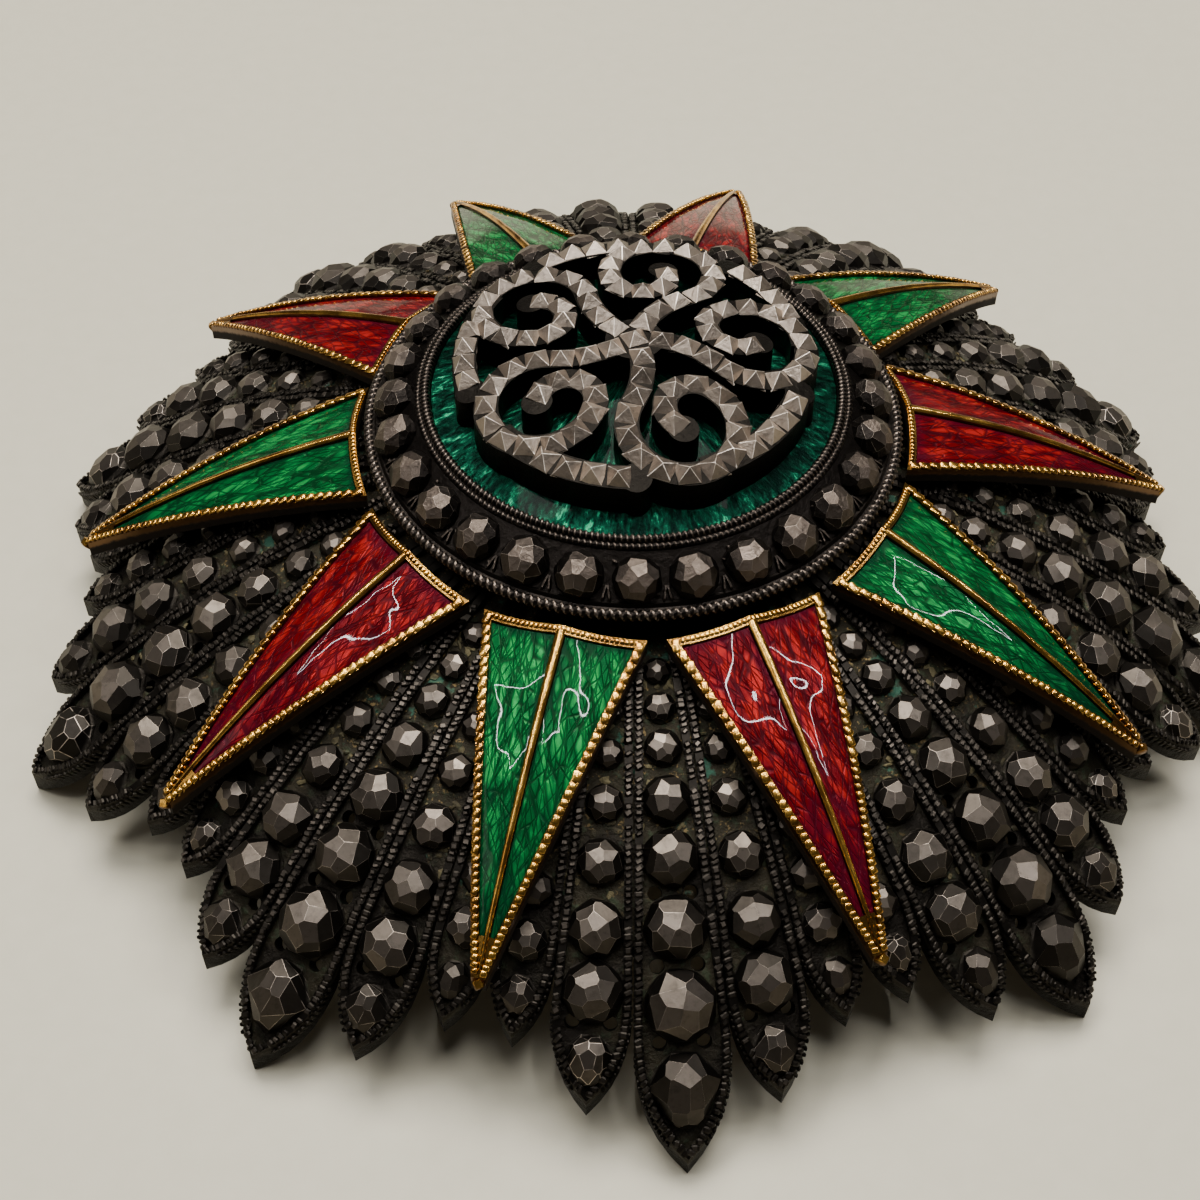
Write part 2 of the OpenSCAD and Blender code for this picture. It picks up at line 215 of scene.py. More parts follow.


# %% [markdown]
# ## Cutting a stud
#
# Each silver stud was cut by hand with a graver: a small block is faceted until
# a point or a small table is left on top, with rings of ever steeper facets
# below. A sphere with few faces would look machine made, so the studs are cut
# in the same way as the real ones: a cube is sliced by planes that touch a
# flattened ball, each turned and tilted a little by chance.
#
# The edges between facets are bright, partly from wear and partly as a painted highlight. A bevel one
# segment wide gives them faces of their own, in the second material slot.


# %% Slice a block by planes
def slanting(lean, turn):
    return Vector((math.sin(lean) * math.cos(turn), math.sin(lean) * math.sin(turn), math.cos(lean)))


def sliced(name, planes, wear):
    """What is left of a block inside all the planes, with its edges bevelled into faces of their own for
    the bright edge colour, partly wear and partly a painted highlight.
    """
    piece = primitive(bpy.ops.mesh.primitive_cube_add, name, size=4)
    for slot in ("cut", "worn"):
        piece.data.materials.append(None)
    bpy.ops.object.mode_set(mode="EDIT")
    for side, reach in planes:
        bpy.ops.mesh.select_all(action="SELECT")
        bpy.ops.mesh.bisect(plane_co=side * reach, plane_no=side, use_fill=True, clear_outer=True)
    bpy.ops.object.mode_set(mode="OBJECT")
    where = {"limit_method": "ANGLE", "angle_limit": math.radians(8)}
    modify(piece, "worn edges", "BEVEL", width=wear, segments=1, material=1, **where)
    return piece


# %% Cut a stud
STUD_RISE = 0.40
STUD_FOOT = 0.08
STUD_WEAR = 0.02
DOWN = Vector((0, 0, -1))


def cut(name, facets, seed, front=1.0, wear=STUD_WEAR):
    """A stud one unit wide on z = 0; front stretches its +X side to a point."""
    chance = random.Random(seed)
    planes = [(DOWN, STUD_FOOT)]
    for tilt, count, start in facets:
        for i in range(count):
            turn = math.radians(start + 360 * i / count + chance.uniform(-9, 9))
            lean = math.radians(min(tilt + chance.uniform(-4, 4), 90))
            side = slanting(lean, turn)
            half = 0.5 * (front if side.x > 0 else 1)
            reach = math.hypot(half * side.x, 0.5 * side.y, STUD_RISE * side.z)
            planes.append((side, reach * chance.uniform(0.975, 1.0)))
    return sliced(name, planes, wear)


# %% [markdown]
# Six round studs are enough: with a different turn, size and tone for every
# copy, no two neighbours look alike. Some have a point where four or five
# facets meet, and some a small table. The studs at the ray tips are drops, made
# by stretching the ball in front until two walls meet in a point. A ring of
# facets is given by its tilt, its number of facets and where it starts.

# %% The round and the drop-shaped studs
ROUND_CUTS = {
    "stud_four": [(15, 4, 10), (37, 6, 30), (59, 7, 5), (77, 8, 20), (90, 9, 0)],
    "stud_five": [(18, 5, 0), (40, 6, 20), (61, 8, 15), (78, 8, 0), (90, 9, 20)],
    "stud_table": [(4, 1, 0), (27, 5, 25), (46, 6, 0), (66, 8, 10), (80, 8, 30), (90, 9, 10)],
    "stud_cross": [(17, 4, 45), (39, 6, 0), (60, 8, 0), (78, 8, 20), (90, 9, 5)],
    "stud_small_table": [(3, 1, 40), (22, 4, 0), (42, 6, 10), (64, 8, 25), (80, 8, 5), (90, 9, 30)],
    "stud_keeled": [(18, 4, 80), (36, 5, 30), (57, 7, 20), (76, 8, 0), (90, 9, 15)],
}
DROP_CUTS = {
    "drop_peaked": [(16, 4, 50), (38, 5, 35), (58, 6, 0)],
    "drop_table": [(5, 1, 0), (27, 5, 0), (45, 6, 30), (62, 6, 10)],
    "drop_keeled": [(18, 3, 60), (40, 6, 30), (60, 6, 5)],
}
DROP_WALLS = [(74, 4, 45), (72, 3, 60), (90, 4, 45), (90, 3, 60)]
DROP, DROP_WEAR = 1.45, 0.012
round_studs = [cut(name, facets, seed) for seed, (name, facets) in enumerate(ROUND_CUTS.items(), 11)]
drop_studs = [
    cut(name, facets + DROP_WALLS, seed, DROP, DROP_WEAR)
    for seed, (name, facets) in enumerate(DROP_CUTS.items(), 21)
]
print("studs:", [len(stud.data.polygons) for stud in round_studs + drop_studs], "faces")

# %% [markdown]
# ## The silver clusters
#
# A cluster is one plate with five rays. Each ray is a channel: a floor between
# two raised rims, with pairs of drilled holes. The exact solid already has all
# that, and plain regular studs too. So the plate starts as a merged copy of the
# solid, turned to lie along X, and the points of the plain studs are pressed
# just under the floor. What is left is the bare plate for the hand-cut ones.

# %% The rays of one cluster
Ray = namedtuple("Ray", "turn half tip point studs")
GROOVE_W = 0.14 * MM
RIM_W = 0.5 * MM
RIM_H = 0.4 * MM
STUD_D = 4.2 * MM
LONG_HALF = 4.3
MEDIUM_HALF = 3.75
SHORT_HALF = (18 - LONG_HALF - 2 * MEDIUM_HALF) / 2
MEDIUM_TURN = LONG_HALF + MEDIUM_HALF
SHORT_TURN = 18 - SHORT_HALF
# Studs from the tip inwards: place as a share of the tip radius, and width as a
# share of the largest stud.
LONG_STUDS = [
    (0.916, 0.84), (0.835, 1.00), (0.750, 0.90), (0.670, 0.82),
    (0.599, 0.71), (0.532, 0.55), (0.478, 0.47), (0.427, 0.41),
]
MEDIUM_STUDS = [
    (0.943, 0.58), (0.871, 0.86), (0.797, 0.80), (0.716, 0.67),
    (0.640, 0.55), (0.573, 0.45), (0.515, 0.36),
]
SHORT_STUDS = [(0.941, 0.46), (0.877, 0.59), (0.809, 0.53), (0.740, 0.43)]
rays = [
    Ray(0, LONG_HALF, star_r, 5.8 * MM, LONG_STUDS),
    Ray(MEDIUM_TURN, MEDIUM_HALF, star_r - 2.6 * MM, 5 * MM, MEDIUM_STUDS),
    Ray(-MEDIUM_TURN, MEDIUM_HALF, star_r - 2.6 * MM, 5 * MM, MEDIUM_STUDS),
    Ray(SHORT_TURN, SHORT_HALF, star_r - 5.3 * MM, 4.4 * MM, SHORT_STUDS),
    Ray(-SHORT_TURN, SHORT_HALF, star_r - 5.3 * MM, 4.4 * MM, SHORT_STUDS),
]


def half_width(x, ray):
    """Half the width of a ray at x along it: straight sides, then a round point."""
    shoulder = ray.tip - ray.point
    past = np.clip((x - shoulder) / ray.point, 0, 1)
    return np.minimum(x, shoulder) * math.tan(math.radians(ray.half)) * (1 - past**2.7)


def on_dome(x, y, lift=0.0):
    """The point of the dome above (x, y)."""
    return Vector((x, y, dome_centre.z + math.sqrt((dome_r + lift) ** 2 - x * x - y * y)))


# %% A merged copy of an exact solid
TOUCHING = 0.001 * MM


def merged_copy(node, name):
    piece = linked(name, frame["nodes"][node].data.copy())
    only(piece)
    bpy.ops.mesh.customdata_custom_splitnormals_clear()
    bpy.ops.object.mode_set(mode="EDIT")
    bpy.ops.mesh.select_all(action="SELECT")
    bpy.ops.mesh.remove_doubles(threshold=TOUCHING)
    bpy.ops.object.mode_set(mode="OBJECT")
    piece.data.materials.clear()
    return piece


def points_of(piece):
    points = np.zeros(len(piece.data.vertices) * 3)
    piece.data.vertices.foreach_get("co", points)
    return points.reshape(-1, 3)


def press(piece, points, chosen, centre, radius):
    """Moves the chosen points straight towards a centre, onto a ball."""
    away = points - np.array(centre)
    away *= radius / np.linalg.norm(away, axis=1)[:, None]
    points = np.where(chosen[:, None], np.array(centre) + away, points)
    piece.data.vertices.foreach_set("co", points.ravel())
    piece.data.update()


# %% The bare plate, lying along X
RIM_CLEARANCE = 0.02 * MM
STUD_LEAST_LIFT = 0.015 * MM
PRESSED_BELOW = 0.04 * MM
plate = merged_copy("silver_cluster_1", "bare_plate")
plate.data.transform(turned(math.radians(90)))
points = points_of(plate)
lift = np.linalg.norm(points - np.array(dome_centre), axis=1) - dome_r
on_studs = np.zeros(len(points), bool)
for ray in rays:
    c, s = math.cos(math.radians(ray.turn)), math.sin(math.radians(ray.turn))
    along = points[:, 0] * c + points[:, 1] * s
    aside = np.abs(points[:, 1] * c - points[:, 0] * s)
    in_channel = aside < half_width(along, ray) - GROOVE_W / 2 - RIM_W - RIM_CLEARANCE
    on_studs |= in_channel & (lift > STUD_LEAST_LIFT)
press(plate, points, on_studs, dome_centre, dome_r - PRESSED_BELOW)
only(plate)
bpy.ops.object.shade_smooth_by_angle(angle=math.radians(25))
print("plate:", len(points), "points,", int(on_studs.sum()), "pressed")

# %% [markdown]
# The rims are knurled: a small toothed wheel was rolled along them and left a
# row of leaning ribs, which run on down the walls of the free tips. One rib is a
# cube with its edges taken off. Grime has set hard between the studs, most of
# all near the medallion, so there is also one crumb: a ball of few faces,
# dented.

# %% One rib and one crumb
RIB_BLUNT = 0.24


def blunt_cube(name, blunt):
    piece = primitive(bpy.ops.mesh.primitive_cube_add, name, size=1)
    modify(piece, "blunt edges", "BEVEL", width=blunt, segments=1)
    return piece


rim_rib = blunt_cube("rim_rib", RIB_BLUNT)
crumb = primitive(bpy.ops.mesh.primitive_ico_sphere_add, "crumb", subdivisions=1, radius=0.5)
for point in crumb.data.vertices:
    point.co *= 1 + 0.5 * noise.noise(point.co * 3.1)
print("rib:", len(rim_rib.data.polygons), "faces, crumb:", len(crumb.data.polygons))

# %% [markdown]
# Ribs, studs and crumbs of a ray are set out in the ray's own frame, and then
# turned to their place in the cluster. A rib's size, lean and tone change by
# chance, because the wheel jumped and wear took some ribs away. The ribs on the
# walls stop just before the tip, because there they would make the star larger.


# %% The line along a rim, up one side and down the other
def rim_line(ray, start, inset, lift=RIM_H):
    shares = 1 - (1 - np.linspace(0, 1, 90)) ** 1.6
    side = []
    for x in start + (ray.tip - start) * shares:
        y = float(half_width(x, ray)) - inset
        if y > 0:
            side.append((x, y))
    return [on_dome(x, y, lift) for x, y in side] + [on_dome(x, -y, lift) for x, y in reversed(side)]


# %% The ribs of one ray
RIB_STEP = 0.41 * MM
RIBS_FROM = 17.6 * MM
RIB_L, RIB_W, RIB_H = 0.37 * MM, 0.44 * MM, 0.38 * MM
RIB_WIDER_IF_STRAIGHT = 0.16 * MM
RIM_GRIME = 0.32
RIB_HIGHLIGHT_FADE = 0.35
RIM_LOST = 0.10
WALL_RIB_L, WALL_RIB_W, WALL_RIB_H = 0.30 * MM, 0.95 * MM, 0.22 * MM
WALL_RIB_LIFT = -0.15 * MM
TIP_WITHOUT_RIBS = 0.9 * MM


def rim_ribs(ray, chance):
    for point, along in evenly(rim_line(ray, RIBS_FROM, (GROOVE_W + RIM_W) / 2), RIB_STEP):
        point += along.normalized() * chance.uniform(-0.05, 0.05) * MM
        if chance.random() < RIM_LOST:
            continue
        straight = abs(along.x) / along.length
        width = (RIB_W + RIB_WIDER_IF_STRAIGHT * straight) * chance.uniform(0.78, 1.08)
        size = (RIB_L * chance.uniform(0.7, 1.3), width, RIB_H * chance.uniform(0.35, 1.25))
        lean = turned(math.radians(chance.uniform(-2, 38)))
        # A rib's tone is random and lowered by grime. It is painted lighter near the medallion, as a
        # highlight that fades towards the tips.
        tone = chance.random() ** 4 - RIM_GRIME - RIB_HIGHLIGHT_FADE * (point.x / ray.tip) ** 3
        yield rim_rib, standing(point, along, point - dome_centre) @ lean @ sized(*size), tone


def wall_ribs(ray, chance):
    line = rim_line(ray, ray.tip - 0.9 * ray.point, GROOVE_W / 2, WALL_RIB_LIFT)
    for point, along in evenly(line, RIB_STEP):
        if point.x > ray.tip - TIP_WITHOUT_RIBS:
            continue
        size = (WALL_RIB_L * chance.uniform(0.8, 1.1), WALL_RIB_W, WALL_RIB_H * chance.uniform(0.7, 1.2))
        outward = along.cross(point - dome_centre) * -1
        lean = turned(math.radians(chance.uniform(-6, 14)))
        yield rim_rib, standing(point, along, outward) @ lean @ sized(*size), -RIM_GRIME


# %% The studs and crumbs of one ray
STUD_SPREAD = 1.05
DROP_SHADE = 0.6
CRUMBS = 64
CRUMBS_FROM, CRUMBS_OVER = 19, 19
CRUMB_SIZES = ((0.3, 0.95), (0.2, 0.6), (0.12, 0.4))
CRUST_TONE = 2.0


def ray_studs(ray, chance):
    for i, (share, width) in enumerate(ray.studs):
        seat = on_dome(share * ray.tip, 0)
        d = width * STUD_D * STUD_SPREAD
        model = chance.choice(round_studs if i else drop_studs)
        size = (d, d * chance.uniform(0.97, 1.02), d * chance.uniform(0.95, 1.06))
        spin = turned(chance.uniform(0, 2 * math.pi) if i else 0)
        tilt = Matrix.Rotation(math.radians(chance.uniform(-3, 3)), 4, "Y")
        place = standing(seat, X_AXIS, seat - dome_centre, size)
        # The drop stud at the tip is painted darker, as shade.
        yield model, place @ tilt @ spin, chance.random() - (0 if i else DROP_SHADE)


def crumbs(ray, chance):
    for i in range(CRUMBS):
        x = (CRUMBS_FROM + CRUMBS_OVER * chance.random() ** 1.6) * MM
        y = chance.uniform(-1, 1) * (float(half_width(x, ray)) - GROOVE_W)
        free = all(math.hypot(x - s * ray.tip, y) > 0.46 * w * STUD_D for s, w in ray.studs)
        if free and x < ray.tip - ray.point:
            point = on_dome(x, y)
            size = [chance.uniform(least, most) * MM for least, most in CRUMB_SIZES]
            place = standing(point, X_AXIS, point - dome_centre) @ turned(chance.uniform(0, 6.3))
            yield crumb, place @ sized(*size), CRUST_TONE


# %% All small pieces of a cluster
def trimmings(chance):
    """The (model, place, tone) of every small piece of a cluster along X."""
    copies = []
    for ray in rays:
        turn = turned(math.radians(ray.turn))
        for trims in (rim_ribs, wall_ribs, ray_studs, crumbs):
            copies += [(model, turn @ place, tone) for model, place, tone in trims(ray, chance)]
    return copies


# %% [markdown]
# Each of the ten clusters is the same plate with its own set of studs, turned
# by a tenth of a circle at a time. It replaces the exact solid of its place.


# %% Ten clusters
def tenth(count):
    """Turned by tenths of a circle, counted from the front."""
    return turned(math.radians(-90) + PITCH * count)


clusters = []
for k in range(1, PARTS + 1):
    bare = linked("silver_cluster_%d_cut" % k, plate.data.copy())
    trims = gather("trims_%d" % k, trimmings(random.Random(100 + k)))
    cluster = join([bare, trims])
    cluster.data.transform(tenth(k - 1))
    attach(cluster, "root")
    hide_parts("silver_cluster_%d" % k)
    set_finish(cluster, "silver_cut")
    clusters.append(cluster)
bpy.data.objects.remove(plate)
print("clusters:", len(clusters), "with", len(clusters[0].data.polygons), "faces each")

# %% [markdown]
# ## The enamelled rays
#
# Each gold ray is a long triangle with bulging sides, shaped like a roof: a rib
# runs down the middle and both flanks fall away from it. Seen from its side the
# roof follows the dome. So a point is given by x along the ray and y across,
# and its height by a circle about the star's middle that gets smaller with y.

# %% The roof of an enamelled ray
RIB_RISE = 3 * MM
FLANK = math.tan(math.radians(11))
BORDER_W = 0.5 * MM
BORDER_H = 0.2 * MM
RAY_W = 10.5 * MM
TIP_W = 0.9 * MM
CELL_DEPTH = 0.55 * MM
CENTRE_RIB_W = 0.6 * MM
CELL_GAP = 0.05 * MM
base_r = medallion_r + 0.55 * MM
base_x = math.sqrt(base_r**2 - (RAY_W / 2) ** 2)
tip_x = star_r - 6.4 * MM


def roof_half(s):
    return TIP_W / 2 + (RAY_W - TIP_W) / 2 * (1 - s) * (1 + 0.16 * s)


def roof_x(s):
    return base_x + (tip_x - base_x) * s


def on_roof(x, y, lift=0.0):
    radius = dome_r + RIB_RISE + lift - abs(y) * FLANK
    return Vector((x, y, dome_centre.z + math.sqrt(radius**2 - x * x)))


def roof_up(point):
    """Straight out of the roof at a point on it."""
    away = Vector((point.x, 0, point.z - dome_centre.z)).normalized()
    return away + Vector((0, math.copysign(FLANK, point.y), 0))


# %% [markdown]
# The gold border was notched by hand into a row of short bars, longer near the
# medallion and almost round at the tip, which ends in a point. The notches lean.
# One bar is a cube with blunt edges, and a bar turned to stand on its corner
# makes the pointed end. The arc at the base has a much finer row, so it gets
# small beads. These rows stand on the exact solid of the gold body, which stays
# as it is.

# %% The bars of one side of a gold ray
BAR_BLUNT = 0.15
FINE_STEP = 0.02 * MM
BAR_L, BAR_L_LOSS = 0.78 * MM, 0.36 * MM
BAR_W, BAR_W_LOSS = 0.50 * MM, 0.06 * MM
BAR_H = 0.36 * MM
BAR_FILL = 0.97
gold_bar = blunt_cube("gold_bar", BAR_BLUNT)
print("gold bar:", len(gold_bar.data.polygons), "faces")


def border_bars(side, chance):
    line = []
    for s in np.linspace(-0.1, 0.995, 60):
        y = roof_half(s) - BORDER_W / 2
        if math.hypot(roof_x(s), y) > base_r + 0.3 * MM:
            line.append(on_roof(roof_x(s), side * y, BORDER_H))
    fine = evenly(line, FINE_STEP)
    i, last = 0, len(fine) - 1
    while i <= last:
        point, along = fine[i]
        length = (BAR_L - BAR_L_LOSS * i / last) * chance.uniform(0.85, 1.15)
        width = (BAR_W - BAR_W_LOSS * i / last) * chance.uniform(0.92, 1.05)
        size = (length * BAR_FILL, width, BAR_H * chance.uniform(0.85, 1.1))
        lean = turned(math.radians(side * chance.uniform(10, 24)))
        yield gold_bar, standing(point, along, roof_up(point)) @ lean @ sized(*size), chance.random()
        i += max(int(length / FINE_STEP), 1)


# %% The whole border of a gold ray
END_W, END_H, END_SUNK = 0.64 * MM, 1.2 * MM, 0.35 * MM
END_TONE = 0.5
BEAD_STEP = 0.30 * MM
BEAD_L, BEAD_W, BEAD_H = 0.27 * MM, 0.30 * MM, 0.26 * MM


def border_rows(chance):
    copies = [*border_bars(1, chance), *border_bars(-1, chance)]
    tip = on_roof(tip_x, 0, -END_SUNK)
    pointed = standing(tip, X_AXIS, roof_up(tip)) @ turned(math.radians(45))
    copies.append((gold_bar, pointed @ sized(END_W, END_W, END_H), END_TONE))
    spread = math.asin((RAY_W / 2 - BORDER_W) / base_r)
    radius = base_r + 0.22 * MM
    angles = np.linspace(-spread, spread, 60)
    arc = [on_roof(radius * math.cos(a), radius * math.sin(a), BORDER_H) for a in angles]
    for point, along in evenly(arc, BEAD_STEP):
        size = (BEAD_L, BEAD_W, BEAD_H * chance.uniform(0.8, 1.1))
        copies.append((gold_bar, standing(point, along, roof_up(point), size), chance.random()))
    return copies


# %% [markdown]
# A polished half-round wire lies along the centre rib. It was hammered in by
# hand and is a little uneven, and past the enamel, at the tip, it is dull. A grid
# bent to a half round gives its surface, and Solidify its body.

# %% The wire on the centre rib
WIRE_RISE = 0.13 * MM
WIRE_T = 0.08 * MM
WIRE_TONE = 0.6
WIRE_END = 0.985
ENAMEL_END = 0.89


def rib_wire(chance):
    grid = {"x_subdivisions": 70, "y_subdivisions": 6}
    piece = primitive(bpy.ops.mesh.primitive_grid_add, "rib_wire", size=1, **grid)
    start, end = base_r + BORDER_W * 0.8, roof_x(WIRE_END)
    offset = Vector((chance.uniform(0, 90), 0, 0))
    for point in piece.data.vertices:
        u, v = point.co.x + 0.5, 2 * point.co.y
        half = CENTRE_RIB_W / 2 * (0.97 - 0.5 * u)
        uneven = 1 + 0.25 * noise.noise(Vector((u * 14, v * 0.4, 0)) + offset)
        lift = BORDER_H + WIRE_RISE * math.sqrt(1 - v * v) * uneven
        point.co = on_roof(start + (end - start) * u, half * v, lift)
    modify(piece, "body", "SOLIDIFY", thickness=WIRE_T, offset=-1)
    bright = [WIRE_TONE * (face.center.x < roof_x(ENAMEL_END)) for face in piece.data.polygons]
    keep_numbers(piece.data, tone=bright, upward=[1.0] * len(bright), worn=[0.0] * len(bright))
    return piece


# %% Ten gold borders
borders = []
for k in range(1, PARTS + 1):
    row = gather("border_row", border_rows(random.Random(200 + k)))
    row = join([row, rib_wire(random.Random(250 + k))])
    row.name = row.data.name = "gold_border_%d" % k
    row.data.transform(tenth(k - 1.5))
    only(row)
    bpy.ops.object.shade_smooth_by_angle(angle=math.radians(50))
    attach(row, "root")
    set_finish(row, "gold")
    borders.append(row)
print("gold borders:", len(borders), "with", len(borders[0].data.polygons), "faces each")

# %% [markdown]
# ## The enamel of the rays
#
# Enamel is glass. It fills its cell, pulls up a little along the gold and stays
# slightly wavy after firing, which bends the reflections in it. A flat facet
# can't show that, so each flank is a fine grid laid over the roof: one
# direction runs down the ray, the other from the rib to the border. The grid
# carries its own map in centimetres for the foil pattern under the glass, and a
# number for how deep the colour is: most at the tip and along the gold, where
# the glass is thickest. Solidify gives the sheet its thickness.

# %% Lay a grid of enamel over one flank
FLANK_END = 0.9 - 0.003
CROWN = 0.05 * MM
WAVE = 0.035 * MM
WAVE_L, RIPPLE_L = 2.6 * MM, 1.1 * MM
MAP_SCALE = 100


def flank(name, side, seed):
    grid = {"x_subdivisions": 84, "y_subdivisions": 16}
    piece = primitive(bpy.ops.mesh.primitive_grid_add, name, size=1, **grid)
    edge_r = base_r + BORDER_W + CELL_GAP
    offset = Vector((seed * 3.7, seed * 1.9, 0))
    mapped, deep = [], []
    for point in piece.data.vertices:
        u, v = point.co.x + 0.5, point.co.y + 0.5
        deep.append(max(u**2.5, abs(2 * v - 1) ** 7, (1 - u) ** 30))
        s = FLANK_END * u
        outer = roof_half(s) - BORDER_W - CELL_GAP
        inner = CENTRE_RIB_W / 2 * (1 - 0.6 * s) + CELL_GAP
        y = inner + (outer - inner) * v
        start_shift = math.sqrt(edge_r**2 - y * y) - roof_x(0)
        x = roof_x(s) + (1 - u) * start_shift
        wave = noise.noise(Vector((x, y, 0)) / WAVE_L + offset)
        wave += 0.18 * noise.noise(Vector((x, y, 0)) / RIPPLE_L + offset)
        point.co = on_roof(x, side * y, CROWN * (1 - (2 * v - 1) ** 4) + WAVE * wave)
        mapped.append((x * MAP_SCALE + offset.x, side * y * MAP_SCALE + offset.y))
    for loop, uv in zip(piece.data.loops, piece.data.uv_layers.active.data):
        uv.uv = mapped[loop.vertex_index]
    piece.data.attributes.new("deep", "FLOAT", "POINT").data.foreach_set("value", deep)
    if side < 0:
        bpy.ops.object.mode_set(mode="EDIT")
        bpy.ops.mesh.select_all(action="SELECT")
        bpy.ops.mesh.flip_normals()
        bpy.ops.object.mode_set(mode="OBJECT")
    modify(piece, "thickness", "SOLIDIFY", thickness=CELL_DEPTH - 2 * CELL_GAP, offset=-1)
    bpy.ops.object.shade_smooth_by_angle(angle=math.radians(40))
    return piece


# %% Twenty enamel flanks
enamels = []
for k in range(1, PARTS + 1):
    for word, side in (("left", 1), ("right", -1)):
        piece = flank("enamel_%s_%d_glass" % (word, k), side, 2 * k + side)
        piece.data.transform(tenth(k - 1.5))
        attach(piece, "root")
        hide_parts("enamel_%s_%d" % (word, k))
        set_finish(piece, "enamel_green" if k % 2 else "enamel_red")
        enamels.append(piece)
print("enamel flanks:", len(enamels), "with", len(enamels[0].data.polygons), "faces each")

# %% [markdown]
# ## The medallion ring
#
# The ring was turned on a lathe: a sloping channel for the studs, a plain step
# inside it, and seats for two ropes. Spinning its outline about the axis is the
# same work. The outline is drawn in the XZ plane, selected, and spun.

# %% Heights and radii of the ring
OUTER_ROPE_D = 0.85 * MM
INNER_ROPE_D = 0.65 * MM
EDGE_ROPE_D = 0.5 * MM
CHANNEL_W = 2.9 * MM
INNER_EDGE_W = 0.35 * MM
COLLAR_INSET, SHELF_W = 3.2 * MM, 1.3 * MM
ring_r = medallion_r - OUTER_ROPE_D / 2
channel_out = ring_r - OUTER_ROPE_D * 0.42
channel_in = channel_out - CHANNEL_W
inner_edge = channel_in - INNER_ROPE_D - INNER_EDGE_W
inner_rope_r = inner_edge + INNER_ROPE_D / 2
seat_z = dome_top + 0.7 * MM
channel_z = seat_z + 0.55 * MM
step_z = channel_z + 2.3 * MM
enamel_z = step_z - 0.15 * MM
shelf_z = enamel_z - 1.25 * MM
collar_in = medallion_r - COLLAR_INSET - SHELF_W
print("ring: seat %.2f, step %.2f mm" % (seat_z / MM, step_z / MM))


# %% Spin an outline about the axis
def spun(steps):
    bpy.ops.object.mode_set(mode="EDIT")
    bpy.ops.mesh.select_all(action="SELECT")
    bpy.ops.mesh.spin(steps=steps, angle=2 * math.pi, center=(0, 0, 0), axis=(0, 0, 1))
    bpy.ops.mesh.select_all(action="SELECT")
    bpy.ops.mesh.remove_doubles(threshold=TOUCHING)
    bpy.ops.mesh.normals_make_consistent(inside=False)
    bpy.ops.object.mode_set(mode="OBJECT")


# %% The body of the ring
ROUND = 0.08 * MM
outline = [
    (collar_in, seat_z), (ring_r, seat_z), (ring_r, channel_z - 0.1 * MM),
    (channel_out, channel_z), (channel_out - 0.16 * MM, channel_z + 0.24 * MM),
    (channel_out - 0.34 * MM, channel_z + 0.20 * MM), (channel_in, step_z - 0.25 * MM),
    (channel_in, step_z - ROUND), (channel_in - ROUND, step_z), (inner_edge + ROUND, step_z),
    (inner_edge, step_z - ROUND), (inner_edge, shelf_z), (inner_edge - 1 * MM, shelf_z),
    (inner_edge - 1 * MM, seat_z),
]
last = len(outline) - 1
mesh = bpy.data.meshes.new("ring_body")
mesh.from_pydata([(r, 0, z) for r, z in outline], [(i, i + 1) for i in range(last)] + [(last, 0)], [])
ring_body = linked("ring_body", mesh)
only(ring_body)
spun(180)
bpy.ops.object.shade_smooth_by_angle(angle=math.radians(30))
print("ring body:", len(ring_body.data.polygons), "faces")

# %% [markdown]
# The outer rope is two wires twisted together, so leaning ribs run round it. Two inner ones are rows of
# fine beads. All start as an upright circle that is spun about the axis, with four steps for every rib,
# more than a torus primitive can have. Each point is then moved towards the middle of the wire by a
# wave: straight across for beads, and leaning where the wave also follows the turn round the wire. The
# crests are lighter, partly rubbed clean and partly a painted highlight, and the faces keep that.

# %% Ropes from spun circles
STEPS_PER_RIB = 4


def rope(name, radius, thickness, z, count, lean, depth, across, clean):
    """A spun wire with count ribs; its section has across points."""
    upright = {"location": (radius, 0, z), "rotation": (math.pi / 2, 0, 0)}
    circle = {"vertices": across, "radius": thickness / 2}
    piece = primitive(bpy.ops.mesh.primitive_circle_add, name, **circle, **upright)
    bpy.ops.object.transform_apply(location=True, rotation=True, scale=True)
    spun(STEPS_PER_RIB * count)
    for point in piece.data.vertices:
        around = math.atan2(point.co.y, point.co.x)
        middle = Vector((radius * math.cos(around), radius * math.sin(around), z))
        out = (point.co - middle).normalized()
        over = math.atan2(out.z, out.x * math.cos(around) + out.y * math.sin(around))
        wave = 0.5 - 0.5 * math.cos(count * around + lean * over)
        point.co = point.co - out * depth * wave
    # How near each face is to the crest. The finish paints crests lighter, partly as wear and partly as
    # a highlight.
    crests = []
    for face in piece.data.polygons:
        flat = Vector((face.center.x, face.center.y, 0))
        reached = (face.center - flat.normalized() * radius - Vector((0, 0, z))).length
        crests.append(min(max(1.3 * (reached - thickness / 2 + depth) / depth, 0), 1))
    level = [clean] * len(crests)
    keep_numbers(piece.data, tone=level, upward=crests, worn=[0.0] * len(crests))
    bpy.ops.object.shade_smooth()
    return piece


CLEAN, DULL = 1.0, 0.4
outer_z = channel_z - OUTER_ROPE_D * 0.3
inner_z = step_z + INNER_ROPE_D * 0.2
edge_r, edge_z = channel_in - EDGE_ROPE_D * 0.4, step_z - EDGE_ROPE_D * 0.15
ropes = [
    rope("outer_rope", ring_r, OUTER_ROPE_D, outer_z, 220, 2, 0.17 * MM, 12, CLEAN),
    rope("inner_rope", inner_rope_r, INNER_ROPE_D, inner_z, 240, 1, 0.15 * MM, 10, DULL),
    rope("edge_rope", edge_r, EDGE_ROPE_D, edge_z, 240, 1, 0.12 * MM, 8, DULL),
]
print("ropes:", sum(len(piece.data.polygons) for piece in ropes), "faces")

